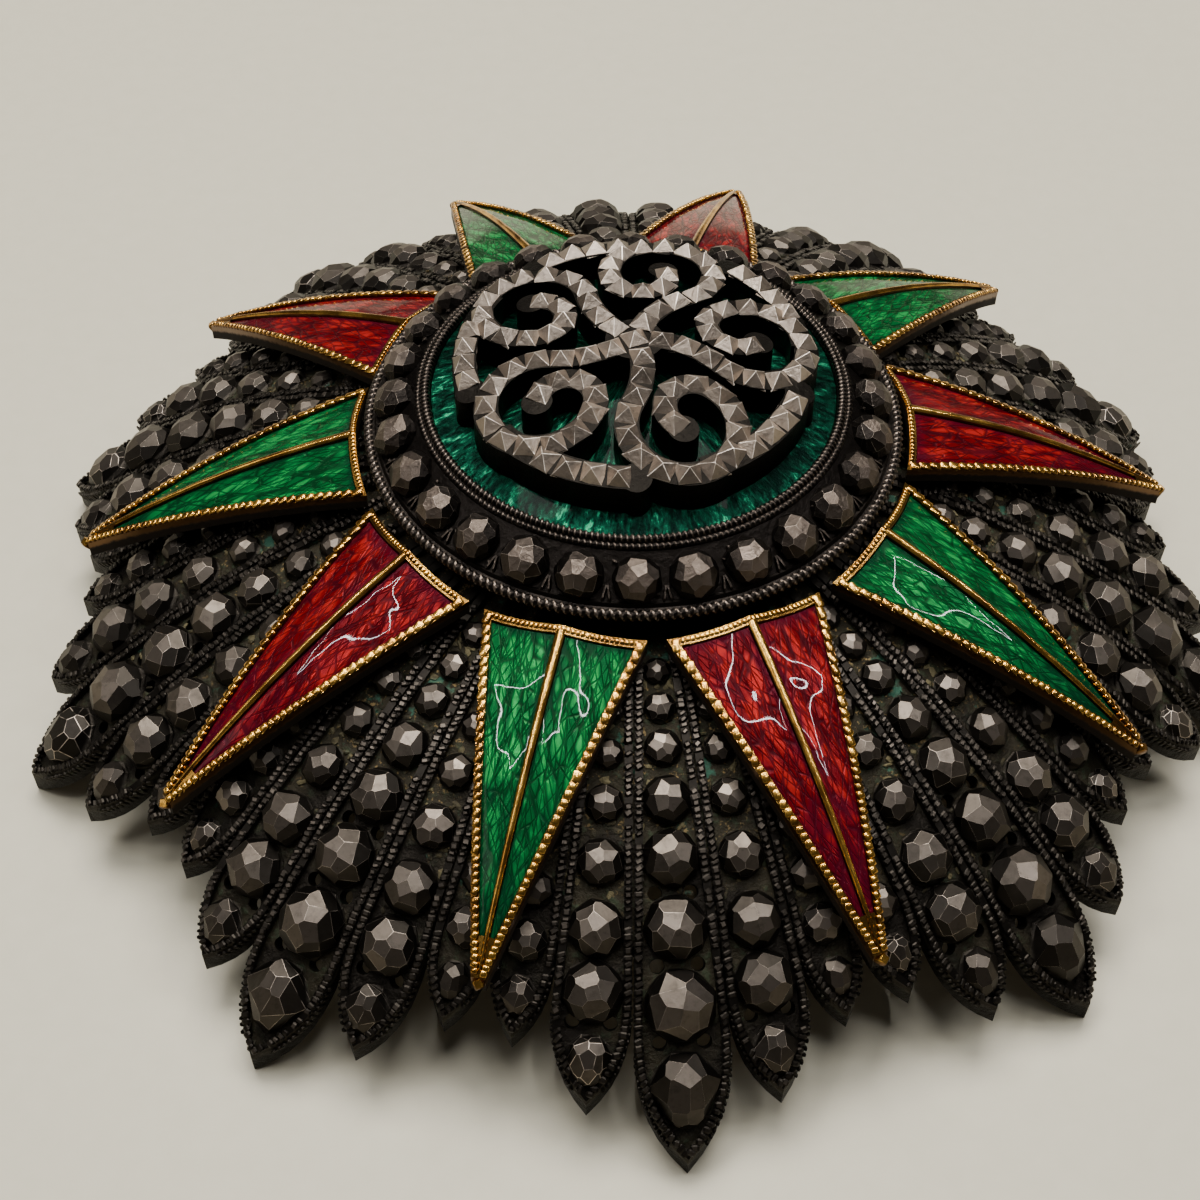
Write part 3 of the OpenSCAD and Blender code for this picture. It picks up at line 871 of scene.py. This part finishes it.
# %% Studs, small ridges and crumbs round the channel
RING_STUDS = 28
RING_STUD_D = 3.1 * MM
RING_STUD_SUNK = 0.12 * MM
RIDGE = sized(1.1 * MM, 0.2 * MM, 0.5 * MM)
RIDGE_OUT, RIDGE_ASIDE, RIDGE_TURN = 0.95 * MM, 0.16 * MM, math.radians(12)
RING_CRUMBS, RING_CRUMB_TONE = 5, -0.3
chance = random.Random(300)
slope = math.atan2(step_z - channel_z, channel_out - channel_in)
middle = Vector(((channel_out + channel_in) / 2, 0, (channel_z + step_z) / 2 - RING_STUD_SUNK))
seat = Matrix.Translation(middle) @ Matrix.Rotation(slope, 4, "Y")
copies = []
for i in range(RING_STUDS):
    turn = turned(math.radians(-90) + 2 * math.pi * (i - 0.3) / RING_STUDS)
    size = [RING_STUD_D * chance.uniform(0.96, 1.03) for axis in range(3)]
    spin = turned(chance.uniform(0, 2 * math.pi))
    stud = turn @ seat @ sized(*size) @ spin
    copies.append((chance.choice(round_studs), stud, chance.random()))
    half_turn = turned(math.pi / RING_STUDS)
    for across in (-1, 1):
        aside = Matrix.Translation((RIDGE_OUT, across * RIDGE_ASIDE, 0)) @ turned(across * RIDGE_TURN)
        copies.append((rim_rib, turn @ half_turn @ seat @ aside @ RIDGE, 0.0))
    for n in range(RING_CRUMBS):
        place = turn @ turned(chance.uniform(-0.1, 0.1)) @ seat
        place = place @ Matrix.Translation((chance.uniform(-1.2, 1.2) * MM, 0, 0.05 * MM))
        size = [chance.uniform(0.2, 0.5) * MM for axis in range(3)]
        copies.append((crumb, place @ sized(*size), RING_CRUMB_TONE))
ring_trims = gather("ring_trims", copies)
ring = join([ring_body, ring_trims, *ropes])
ring.name = "medallion_ring_roped"
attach(ring, "root")
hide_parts("medallion_ring")
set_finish(ring, "silver_ring")
print("ring:", len(ring.data.polygons), "faces")

# %% [markdown]
# ## The pierced scrolls
#
# The ornament over the enamel was sawn out of thick silver, and its top filed
# into a row of small pyramids with bright ridges. The exact solid has the
# scrolls and plain pyramids. As with the clusters, a merged copy gives the
# scrolls, with its pyramids pressed down onto the top, and hand-filed ones are
# set along the same arcs.

# %% The curves of one scroll arm
STRIP_W = 1.6 * MM
STRIP_H = 2.1 * MM
SCROLL_D = 24.4 * MM
ARMS = 5
Arc = namedtuple("Arc", "radius turn start end")
reach = SCROLL_D / 2 - STRIP_W / 2
enamel_r = inner_edge - 0.05 * MM
ENAMEL_RISE = 2.3 * MM
cap_r = (enamel_r**2 + ENAMEL_RISE**2) / (2 * ENAMEL_RISE)
cap_centre = Vector((0, 0, enamel_z + ENAMEL_RISE - cap_r))
LOOP_AT, LOOP_R, ROOT = 0.69, 0.31, 222


def on_loop(angle, heading):
    a = math.radians(angle)
    return (LOOP_AT + LOOP_R * math.cos(a)) * reach, LOOP_R * math.sin(a) * reach, heading


curves = [
    (on_loop(ROOT, ROOT + 90), [Arc(LOOP_R, 268, 0, 1), Arc(0.165, 185, 0, 1)]),
    (on_loop(ROOT, ROOT - 90), [Arc(0.62, 48, 0, 0.84)]),
    ((0.98 * reach, 0, 90), [Arc(0.98, 50, 0.30, 0.97)]),
]


def walk(pose, radius, turn):
    """Goes on from (x, y, heading) along an arc to the left."""
    x, y, heading = pose
    a, b = math.radians(heading), math.radians(heading + turn)
    x += radius * (math.sin(b) - math.sin(a))
    y += radius * (math.cos(a) - math.cos(b))
    return x, y, heading + turn


# %% [markdown]
# A pyramid is filed on four sides. It is cut like a stud, from a cube, by four
# slanting planes and four upright ones, each a little out of true.

# %% File a small pyramid
PYRAMID_FOOT = 0.12
PYRAMID_WEAR = 0.07
SLANT, WALL = (44, 0.33), (90, 0.485)


def filed(name, seed):
    chance = random.Random(seed)
    planes = [(DOWN, PYRAMID_FOOT)]
    for i in range(4):
        for tilt, reach in (SLANT, WALL):
            turn = math.radians(90 * i + chance.uniform(-8, 8))
            lean = math.radians(tilt + (chance.uniform(-5, 5) if tilt < 90 else 0))
            planes.append((slanting(lean, turn), reach * chance.uniform(0.95, 1.03)))
    return sliced(name, planes, PYRAMID_WEAR)


pyramids = [filed("pyramid_%d" % n, 400 + n) for n in range(5)]

# %% The scrolls with their pyramids
scrolls = merged_copy("scroll_ornament", "scrolls_bare")
points = points_of(scrolls)
high = np.linalg.norm(points - np.array(cap_centre), axis=1) > cap_r + STRIP_H + 0.01 * MM
press(scrolls, points, high, cap_centre, cap_r + STRIP_H)
only(scrolls)
bpy.ops.object.shade_flat()
chance = random.Random(401)
copies = []


def set_pyramid(x, y, heading):
    seat = Vector((x, y, cap_centre.z + math.sqrt((cap_r + STRIP_H) ** 2 - x * x - y * y)))
    along = Vector((math.cos(heading), math.sin(heading), 0))
    size = [STRIP_W * chance.uniform(0.95, 1.04) for axis in range(3)]
    place = standing(seat, along, seat - cap_centre, size)
    copies.append((chance.choice(pyramids), place, chance.random()))


for arm in range(ARMS):
    arm_turn = 360 / ARMS * (arm + 1)
    for start, arcs in curves:
        c, s = math.cos(math.radians(arm_turn)), math.sin(math.radians(arm_turn))
        pose = (start[0] * c - start[1] * s, start[0] * s + start[1] * c, start[2] + arm_turn)
        for arc in arcs:
            radius, span = arc.radius * reach, arc.turn * (arc.end - arc.start)
            count = round(radius * math.radians(span) / STRIP_W)
            for n in range(count):
                x, y, heading = walk(pose, radius, arc.turn * arc.start + span * (n + 0.5) / count)
                set_pyramid(x, y, math.radians(heading))
            pose = walk(pose, radius, arc.turn)
set_pyramid(0, 0, 0.4)
ornament = join([scrolls, gather("pyramids", copies)])
ornament.name = "scroll_ornament_filed"
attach(ornament, "root")
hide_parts("scroll_ornament")
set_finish(ornament, "silver_scrolls")
print("ornament:", len(copies), "pyramids,", len(ornament.data.polygons), "faces")

# %% [markdown]
# ## Finishes
#
# A finish is a tree of shader nodes, and most of it is arithmetic: how high
# over the floor of a ray, how far from the axis, how much dirt. Wire stands for
# one output of a node, and Python's own operators on it add Math nodes, so the
# arithmetic reads as arithmetic. Every other node comes from Finish.node.


# %% A wire that can be calculated with
class Wire:
    def __init__(self, finish, socket):
        self.finish = finish
        self.socket = socket

    def math(self, operation, first, second):
        return self.finish.node("ShaderNodeMath", {"operation": operation}, {0: first, 1: second})

    def __add__(self, other):
        return self.math("ADD", self, other)

    def __mul__(self, other):
        return self.math("MULTIPLY", self, other)

    def __sub__(self, other):
        return self.math("SUBTRACT", self, other)

    def __rsub__(self, other):
        return self.math("SUBTRACT", other, self)

    def __pow__(self, other):
        return self.math("POWER", self, other)

    __radd__ = __add__
    __rmul__ = __mul__


# %% A finish and its nodes
class Finish:
    """A material around one Principled shader; fixed values go on its sockets."""

    def __init__(self, name, **fixed):
        self.material = bpy.data.materials.new(name)
        self.material.use_nodes = True
        self.tree = self.material.node_tree
        self.shader = self.tree.nodes["Principled BSDF"]
        for socket, value in fixed.items():
            self.shader.inputs[socket.replace("_", " ")].default_value = value
        self.place = self.node("ShaderNodeTexCoord", output="Object")

    def node(self, kind, settings=None, sockets=None, output=0):
        made = self.tree.nodes.new(kind)
        for name, value in (settings or {}).items():
            setattr(made, name, value)
        for name, value in (sockets or {}).items():
            if isinstance(value, Wire):
                self.tree.links.new(value.socket, made.inputs[name])
            else:
                made.inputs[name].default_value = value
        return Wire(self, made.outputs[output])

    def feed(self, name, wire):
        self.tree.links.new(wire.socket, self.shader.inputs[name])

    def noise(self, scale, detail=4, rough=0.55, place=None):
        sockets = {"Vector": place or self.place, "Scale": scale, "Detail": detail, "Roughness": rough}
        return self.node("ShaderNodeTexNoise", {}, sockets)

    def between(self, wire, low, high):
        """0 below low, 1 above high, and a soft step between them."""
        sockets = {"Value": wire, "From Min": low, "From Max": high}
        return self.node("ShaderNodeMapRange", {"interpolation_type": "SMOOTHSTEP"}, sockets)

    def mix(self, factor, first, second):
        """A colour between two colours."""
        first, second = ((*c, 1) if isinstance(c, tuple) else c for c in (first, second))
        sockets = {0: factor, 6: first, 7: second}
        return self.node("ShaderNodeMix", {"data_type": "RGBA"}, sockets, output=2)

    def bump(self, height, strength, distance):
        sockets = {"Height": height, "Strength": strength, "Distance": distance}
        self.feed("Normal", self.node("ShaderNodeBump", {}, sockets))

    def kept(self, name):
        """A number that was kept on the mesh, such as tone, upward or worn."""
        return self.node("ShaderNodeAttribute", {"attribute_name": name}, output="Fac")

    def worn_edges(self):
        """Bright edges, partly wear and partly a painted highlight, broken up, and painted fainter lower
        down, away from the light.
        """
        high = self.between(self.kept("upward"), 0.25, 0.85) * 0.75 + 0.25
        return self.kept("worn") * self.between(self.noise(1100, 3), 0.34, 0.56) * high

    def vector(self, operation, first, *second, output="Vector"):
        sockets = dict(enumerate((first, *second)))
        return self.node("ShaderNodeVectorMath", {"operation": operation}, sockets, output)

    def length(self, wire):
        return self.vector("LENGTH", wire, output="Value")

    def facing_up(self):
        """1 on a level face, 0 on an upright wall."""
        normal = self.node("ShaderNodeTexCoord", output="Normal")
        return self.vector("DOT_PRODUCT", normal, (0, 0, 1), output="Value")

    def from_axis(self):
        """The direction away from the star's axis, as a vector in metres."""
        return self.vector("MULTIPLY", self.place, (1, 1, 0))

    def distance(self, centre):
        """How far a point of the surface lies from a centre, in millimetres."""
        return self.length(self.vector("SUBTRACT", self.place, tuple(centre))) * (1 / MM)


# %% [markdown]
# ## Cut silver
#
# The silver has turned nearly black on the floors and between the ribs. On the studs the steep sides are
# dark and the facets that look up are grey metal. This is partly tarnish and rubbing, and partly painted
# shade on the sides and painted light from above on top. The edges between facets are bright, partly
# from wear and partly as a painted highlight, though not along their whole length, so a noise breaks
# them up.
#
# Height over the dome tells where dirt gathers, so the finish measures the
# distance from the middle of the dome. Low down lies a crust of wax and a little
# verdigris, thickest near the medallion, with ochre specks and a few blooms of
# blue-green patina. The back of the clusters was never dressed, so there the
# metal is only dull.

# %% The finish of the silver clusters
TARNISH = (0.019, 0.0165, 0.014)
CUT_SILVER = (0.21, 0.175, 0.145)
# Edge faces: partly wear, partly a painted highlight.
WORN_HIGHLIT_EDGE = (0.60, 0.51, 0.43)
CRUST = (0.024, 0.020, 0.012)
CRUMB = (0.125, 0.105, 0.055)
VERDIGRIS = (0.030, 0.038, 0.021)
OCHRE = (0.24, 0.165, 0.07)
PATINA = (0.035, 0.115, 0.078)
SHADED = (0.004, 0.0035, 0.003)
BACK_SILVER = ((0.16, 0.145, 0.13), (0.40, 0.36, 0.32))


def silver_cut():
    finish = Finish("silver_cut", Specular_IOR_Level=0.15)
    over = finish.distance(dome_centre) - dome_r / MM
    out = finish.length(finish.from_axis())
    patches = finish.noise(260, 5)
    fine = finish.noise(1500, 6, 0.68)
    tone = finish.kept("tone")
    # Faces that look up are lighter, partly rubbed clean and partly painted light from above. The steep
    # sides keep the dark tarnish, which is partly painted shade.
    rubbed_and_lit = finish.between(finish.kept("upward") + patches * 0.2, 0.80, 1.14)
    inner = 1 - finish.between(out, 20 * MM, 38 * MM)
    low = 1 - finish.between(over, 0.0, 0.42)
    crusty = low * finish.between(patches + inner * 0.2, 0.40, 0.62)
    metal = finish.mix(rubbed_and_lit * (0.45 + tone * 0.55), TARNISH, CUT_SILVER)
    metal = finish.mix(finish.between(fine, 0.46, 0.72) * 0.4, metal, TARNISH)
    # Edge faces are painted bright, partly as wear and partly as a highlight.
    worn = finish.worn_edges()
    metal = finish.mix(worn, metal, WORN_HIGHLIT_EDGE)
    crust = finish.mix(finish.between(fine, 0.50, 0.66), CRUST, VERDIGRIS)
    crust = finish.mix(finish.between(finish.noise(2600, 3, 0.7), 0.58, 0.66) * inner, crust, OCHRE)
    blooms = finish.between(finish.noise(620, 5, 0.62) + inner * 0.06, 0.64, 0.72)
    crust = finish.mix(blooms * 0.8, crust, PATINA)
    is_crumb = finish.between(tone, 1.5, 1.9)
    crust = finish.mix(is_crumb * finish.between(patches, 0.4, 0.6), crust, CRUMB)
    crusty = finish.between(crusty + is_crumb, 0.0, 1.0)
    behind = finish.between(0 - finish.facing_up(), 0.35, 0.6)
    crusty = crusty * (1 - behind)
    side = finish.between(0 - over, 0.04, 0.2) * (1 - behind)
    front = finish.mix(side * 0.85, finish.mix(crusty, metal, crust), SHADED)
    back = finish.mix(finish.between(patches, 0.35, 0.68), *BACK_SILVER)
    finish.feed("Base Color", finish.mix(behind, front, back))
    finish.feed("Metallic", 1 - crusty * 0.7)
    finish.feed("Roughness", 0.34 + low * 0.14 + fine * 0.14 + worn * 0.12)
    grain = fine * (0.10 + low * 1.2) + finish.noise(520, 3) * (0.15 + low * 0.6)
    finish.bump(grain, 0.9, 0.20 * MM)
    return finish.material


# %% [markdown]
# ## The other silver
#
# The ring and the scrolls are finished in the same way. Faces that look up are light, partly rubbed
# clean and partly painted light from above. Their sawn walls are black, partly tarnish and partly
# painted shade. One function makes both finishes from the dark metal, the light one and the bright
# edges, which are partly wear and partly a painted highlight, and from how much a face has to look up
# before it is bright.
# The back plate and the pin are only dull.

# %% Silver that is dark on its walls
# Dark, light and edge colours. The near-white edge of the scrolls is a painted highlight on the filed
# ridges as well as wear.
RING_SILVER = ((0.015, 0.0125, 0.011), (0.24, 0.19, 0.155), WORN_HIGHLIT_EDGE)
SCROLL_SILVER = ((0.008, 0.007, 0.006), (0.48, 0.40, 0.33), (1.0, 0.90, 0.80))


def silver_rubbed_and_lit(name, colours, rough, steep, level):
    finish = Finish(name, Metallic=1.0)
    dark, light, edge = colours
    patches = finish.noise(420, 5)
    fine = finish.noise(2000, 5, 0.65)
    # Faces that look up are lighter, partly rubbed clean and partly painted light from above. The walls
    # stay dark, partly as painted shade.
    rubbed_and_lit = finish.between(finish.kept("upward") + patches * 0.2, steep, level)
    metal = finish.mix(rubbed_and_lit * (0.4 + finish.kept("tone") * 0.6), dark, light)
    metal = finish.mix(finish.between(fine, 0.5, 0.76) * 0.45, metal, dark)
    worn = finish.worn_edges()
    finish.feed("Base Color", finish.mix(worn, metal, edge))
    finish.feed("Roughness", rough + patches * 0.16 + worn * 0.12)
    finish.bump(fine + finish.noise(700, 3) * 0.8, 0.8, 0.10 * MM)
    return finish.material


def silver_back():
    finish = Finish("silver_back", Metallic=1.0)
    patches = finish.noise(120, 6)
    finish.feed("Base Color", finish.mix(finish.between(patches, 0.35, 0.68), *BACK_SILVER))
    finish.feed("Roughness", 0.34 + patches * 0.2)
    finish.bump(finish.noise(1400, 5, 0.6), 0.3, 0.05 * MM)
    return finish.material


# %% [markdown]
# ## Gold
#
# The gold is soft, reddish and worn. Dirt stays in the notches between the bars. The flat walls under
# the border are painted dull and brown as shade, so the finish asks how far a face looks up. The exact
# solids carry no tone, which tells them from the polished bars and wires that stand on them.
#
# Low on the wall the gold is painted black, as the shadow gap under the border. How far a point lies
# below the roof is worked out as the roof was: the angle about the axis is wrapped to the nearest ray,
# which gives x along that ray and y across it.


# %% Depth under the roof of a ray
def roof_depth(finish):
    """How far a point lies below the roof of the nearest enamelled ray, in mm."""
    x, y, z = (finish.node("ShaderNodeSeparateXYZ", {}, {0: finish.place}, output=i) for i in range(3))
    angle = y.math("ARCTAN2", y, x)
    wrapped = {0: angle, 1: -math.pi / 2, 2: -math.pi / 2 + PITCH}
    angle = finish.node("ShaderNodeMath", {"operation": "WRAP"}, wrapped) - (PITCH / 2 - math.pi / 2)
    out = finish.length(finish.from_axis())
    along = out * angle.math("COSINE", angle, 0.0)
    aside = out * angle.math("ABSOLUTE", angle.math("SINE", angle, 0.0), 0.0)
    above = z - dome_centre.z
    radius = (along * along + above * above) ** 0.5
    return (dome_r + RIB_RISE - radius - aside * FLANK) * (1 / MM)


# %% The finish of the gold
GOLD = ((0.42, 0.195, 0.036), (0.88, 0.49, 0.092))
GOLD_SPECKS = (0.10, 0.05, 0.022)
# Dull gold of the bare solids, and the painted shade on the walls.
GOLD_DULL_AND_SHADED = (0.11, 0.056, 0.020)
# Painted shadow low on the wall under the border.
GOLD_SHADOW_GAP = (0.012, 0.008, 0.005)


def gold_worn():
    finish = Finish("gold_worn", Specular_IOR_Level=0.15)
    patches = finish.noise(380, 5)
    fine = finish.noise(2600, 5, 0.6)
    metal = finish.mix(finish.between(patches, 0.36, 0.62), *GOLD)
    metal = finish.mix(finish.between(fine, 0.54, 0.72) * 0.7, metal, GOLD_SPECKS)
    # The walls under the border are painted dull brown, as shade.
    shaded_wall = 1 - finish.between(finish.facing_up(), 0.25, 0.62)
    dull_and_shaded = finish.between(0.08 - finish.kept("tone"), 0.0, 0.08) * 0.55
    dull_and_shaded = finish.between(dull_and_shaded + shaded_wall * 0.85, 0.0, 1.0)
    metal = finish.mix(dull_and_shaded, metal, GOLD_DULL_AND_SHADED)
    # Low on the wall the gold is painted black, as the shadow gap under the border.
    shadow_gap = finish.between(roof_depth(finish) + (fine - 0.5) * 0.4, 0.10, 0.36)
    finish.feed("Base Color", finish.mix(shadow_gap, metal, GOLD_SHADOW_GAP))
    finish.feed("Metallic", 1 - shadow_gap * 0.9)
    finish.feed("Roughness", 0.14 + patches * 0.18 + shaded_wall * 0.15 + shadow_gap * 0.4)
    finish.bump(fine, 0.3, 0.04 * MM)
    return finish.material


# %% [markdown]
# ## Transparent enamel over foil
#
# The enamel is clear coloured glass over metal that was scored by hand with
# short strokes, so light comes back through it in streaks. Real refraction is
# slow and exports badly. Instead the base layer is the scored metal, tinted, and
# the shader's coat is the smooth glass surface over it.
#
# The strokes fan out to both sides of the ray and cross. A Voronoi pattern whose
# cells are stretched is dark lines with long slivers between them, so three of
# them, turned a little, give the scoring. They follow the flank's own map, which
# is in centimetres. A Mapping node of the TEXTURE kind turns before it
# stretches, so the slivers really lie askew.

# %% The finish of the enamelled rays
GREENS = ((0.0, 0.010, 0.003), (0.001, 0.080, 0.018), (0.010, 0.255, 0.056))
REDS = ((0.014, 0.0, 0.003), (0.105, 0.001, 0.003), (0.330, 0.012, 0.011))
GREEN_DEEP = (0.0, 0.022, 0.009)
RED_DEEP = (0.050, 0.001, 0.009)
GLASS = {"Coat_IOR": 1.2, "Specular_IOR_Level": 0.05}
STROKES = ((-0.36, 0.32, 0.055), (0.08, 0.40, 0.065), (0.44, 0.30, 0.05))


def enamel_over_foil(name, colours, deep):
    finish = Finish(name, Metallic=0.2, Coat_Weight=0.8, Coat_Roughness=0.02, **GLASS)
    dark, middle, light = colours
    own_map = finish.node("ShaderNodeUVMap", {"uv_map": "UVMap"})

    def askew(turn, length, width):
        sockets = {"Vector": own_map, "Rotation": (0, 0, turn), "Scale": (length, width, 1)}
        return finish.node("ShaderNodeMapping", {"vector_type": "TEXTURE"}, sockets)

    scored = 1.0
    for turn, length, width in STROKES:
        sockets = {"Vector": askew(turn, length, width), "Scale": 1.0}
        edge = finish.node("ShaderNodeTexVoronoi", {"feature": "DISTANCE_TO_EDGE"}, sockets)
        scored = finish.between(edge, 0.0, 0.07) * scored
    streaks = finish.noise(1, 2, 0.5, askew(0.22, 0.26, 0.075))
    patches = finish.noise(6, 3, 0.55, own_map)
    base = finish.mix(finish.between(streaks + (patches - 0.5) * 0.5, 0.44, 0.62), middle, light)
    base = finish.mix((1 - scored) * 0.8, base, dark)
    thick = finish.between(finish.kept("deep") + finish.between(patches, 0.48, 0.68) * 0.45, 0.0, 1.0)
    base = finish.mix(thick * 0.85, base, deep)
    finish.feed("Base Color", base)
    finish.feed("Roughness", 0.36 - scored * 0.1)
    finish.bump(streaks * 0.6 + scored * 0.5, 0.8, 0.10 * MM)
    return finish.material


# %% [markdown]
# The medallion's foil is scored in rays from the middle. Two noises read only
# the direction from the axis, in fine and in coarse steps, and change slowly
# outwards, so they turn into long radial streaks.

# %% The finish of the medallion's enamel
MEDALLION_GREENS = ((0.0, 0.006, 0.004), (0.001, 0.050, 0.026))
MEDALLION_STREAKS = (0.035, 0.40, 0.20)


def enamel_rayed():
    finish = Finish("enamel_medallion", Metallic=0.6, Coat_Weight=0.2, Coat_Roughness=0.03, **GLASS)
    away = finish.from_axis()
    out = finish.length(away) * (1 / MM)
    lifted = finish.node("ShaderNodeCombineXYZ", {}, {2: out * 0.03})
    polar = finish.vector("ADD", finish.vector("NORMALIZE", away), lifted)
    rays_fine = finish.noise(34, 4, 0.7, polar)
    rays_broad = finish.noise(5, 3, 0.6, polar)
    patches = finish.noise(260, 4, 0.6)
    light = rays_fine * 0.6 + rays_broad * 0.35 + patches * 0.15
    deep = finish.mix(finish.between(light, 0.48, 0.64), *MEDALLION_GREENS)
    finish.feed("Base Color", finish.mix(finish.between(light, 0.60, 0.70), deep, MEDALLION_STREAKS))
    finish.feed("Roughness", 0.22 + rays_fine * 0.16)
    finish.bump(rays_fine + patches * 0.4, 0.8, 0.25 * MM)
    return finish.material


# %% Give every piece its finish
cut_silver = silver_cut()
gold = gold_worn()
green = enamel_over_foil("enamel_green", GREENS, GREEN_DEEP)
red = enamel_over_foil("enamel_red", REDS, RED_DEEP)
plain_back = silver_back()


def finish_piece(piece, material):
    piece.data.materials.clear()
    piece.data.materials.append(material)


def finish_node(node, material):
    for material_slot in frame["nodes"][node].material_slots:
        material_slot.material = material


for cluster in clusters:
    finish_piece(cluster, cut_silver)
for border in borders:
    finish_piece(border, gold)
for piece in enamels:
    finish_piece(piece, green if piece["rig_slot"] == "enamel_green" else red)
finish_piece(ring, silver_rubbed_and_lit("silver_ring", RING_SILVER, 0.34, 0.78, 1.14))
finish_piece(ornament, silver_rubbed_and_lit("silver_scrolls", SCROLL_SILVER, 0.36, 0.3, 0.8))
for k in range(1, PARTS + 1):
    finish_node("gold_ray_%d" % k, gold)
finish_node("medallion_enamel", enamel_rayed())
finish_node("backing_plate", plain_back)
finish_node("brooch_pin", plain_back)
print("finishes:", sorted(material.name for material in bpy.data.materials if material.users))

# %% [markdown]
# ## Floor, light and camera
#
# The star lies on a pale, matt card. A wide soft light stands behind and above
# it, so the upper facet of every stud is lit and the shadow falls to the front.
# The room is dim, and four thin strips form a frame overhead, another on the
# right and another on the left. Their reflections draw white outlines in the
# wavy enamel. The camera looks down at half a right angle, close to the front of
# the star.

# %% The floor
CARD = ((0.48, 0.445, 0.340), (0.54, 0.50, 0.390))
floor = primitive(bpy.ops.mesh.primitive_plane_add, "floor", size=4)
card = Finish("card", Roughness=0.55)
grain = card.noise(600, 6)
card.feed("Base Color", card.mix(grain, *CARD))
card.bump(grain, 0.15, 0.05 * MM)
finish_piece(floor, card.material)


# %% The lights
def soft_light(name, place, aim, size, power, colour=(1, 1, 1)):
    lamp = bpy.data.lights.new(name, "AREA")
    lamp.shape = "RECTANGLE"
    lamp.size, lamp.size_y = size
    lamp.energy = power
    lamp.color = colour
    holder = linked(name, lamp)
    holder.location = place
    holder.rotation_euler = (Vector(aim) - Vector(place)).to_track_quat("-Z", "Y").to_euler()


world = bpy.data.worlds.new("room")
bpy.context.scene.world = world
world.use_nodes = True
room = world.node_tree.nodes["Background"].inputs
room["Color"].default_value = (1.0, 0.97, 0.93, 1)
room["Strength"].default_value = 0.055
soft_light("wide_light", (0.0, 0.34, 0.78), (0, 0, 0), (0.6, 0.4), 12.3, (1, 0.965, 0.90))
soft_light("left_light", (-0.7, -0.1, 0.6), (0, 0, 0), (0.3, 0.3), 0.7, (1, 0.97, 0.93))

# %% The frames of thin strips
STRIP_FRAMES = {
    "top": (Vector((0.03, -0.05, 0.50)), Vector((0.03, -0.05, 0))),
    "right": (Vector((0.29, 0.01, 0.43)), Vector((0, 0, 0))),
    "left": (Vector((-0.23, 0.01, 0.46)), Vector((0, 0, 0))),
}
FRAME_W, FRAME_L, LAMP_W = 0.10, 0.13, 0.0016
SIDE_POWER, END_POWER = 0.18, 0.14
for name, (middle, aim) in STRIP_FRAMES.items():
    shines = aim - middle
    tilt = shines.to_track_quat("-Z", "Y")
    for side in (-1, 1):
        across = middle + tilt @ Vector((side * FRAME_W / 2, 0, 0))
        size = (LAMP_W, FRAME_L)
        soft_light("%s_side_%d" % (name, side), across, across + shines, size, SIDE_POWER)
        along = middle + tilt @ Vector((0, side * FRAME_L / 2, 0))
        size = (FRAME_W, LAMP_W)
        soft_light("%s_end_%d" % (name, side), along, along + shines, size, END_POWER)
print("lights:", [o.name for o in bpy.data.objects if o.type == "LIGHT"])

# %% The camera
LOOK_DOWN = math.radians(49.58)
LOOK_FLAT = Vector((0.07238, 0.99738, 0))
ROLL = math.radians(0.26)
EYE = Vector((-8.69, -89.58, 106.46)) * MM
lens = bpy.data.cameras.new("camera")
lens.lens = 54.77
lens.sensor_width = 36
lens.clip_start = 0.01
camera = linked("camera", lens)
ahead = LOOK_FLAT * math.cos(LOOK_DOWN) - Vector((0, 0, math.sin(LOOK_DOWN)))
right = ahead.cross(Vector((0, 0, 1))).normalized()
above = right.cross(ahead)
rolled_right = right * math.cos(ROLL) + above * math.sin(ROLL)
rolled_above = above * math.cos(ROLL) - right * math.sin(ROLL)
axes = Matrix((rolled_right, rolled_above, -ahead)).transposed().to_4x4()
camera.matrix_world = Matrix.Translation(EYE) @ axes
bpy.context.scene.camera = camera

# %% Clear the models
for model in round_studs + drop_studs + pyramids + [rim_rib, crumb, gold_bar]:
    bpy.data.objects.remove(model)
bpy.context.view_layer.update()
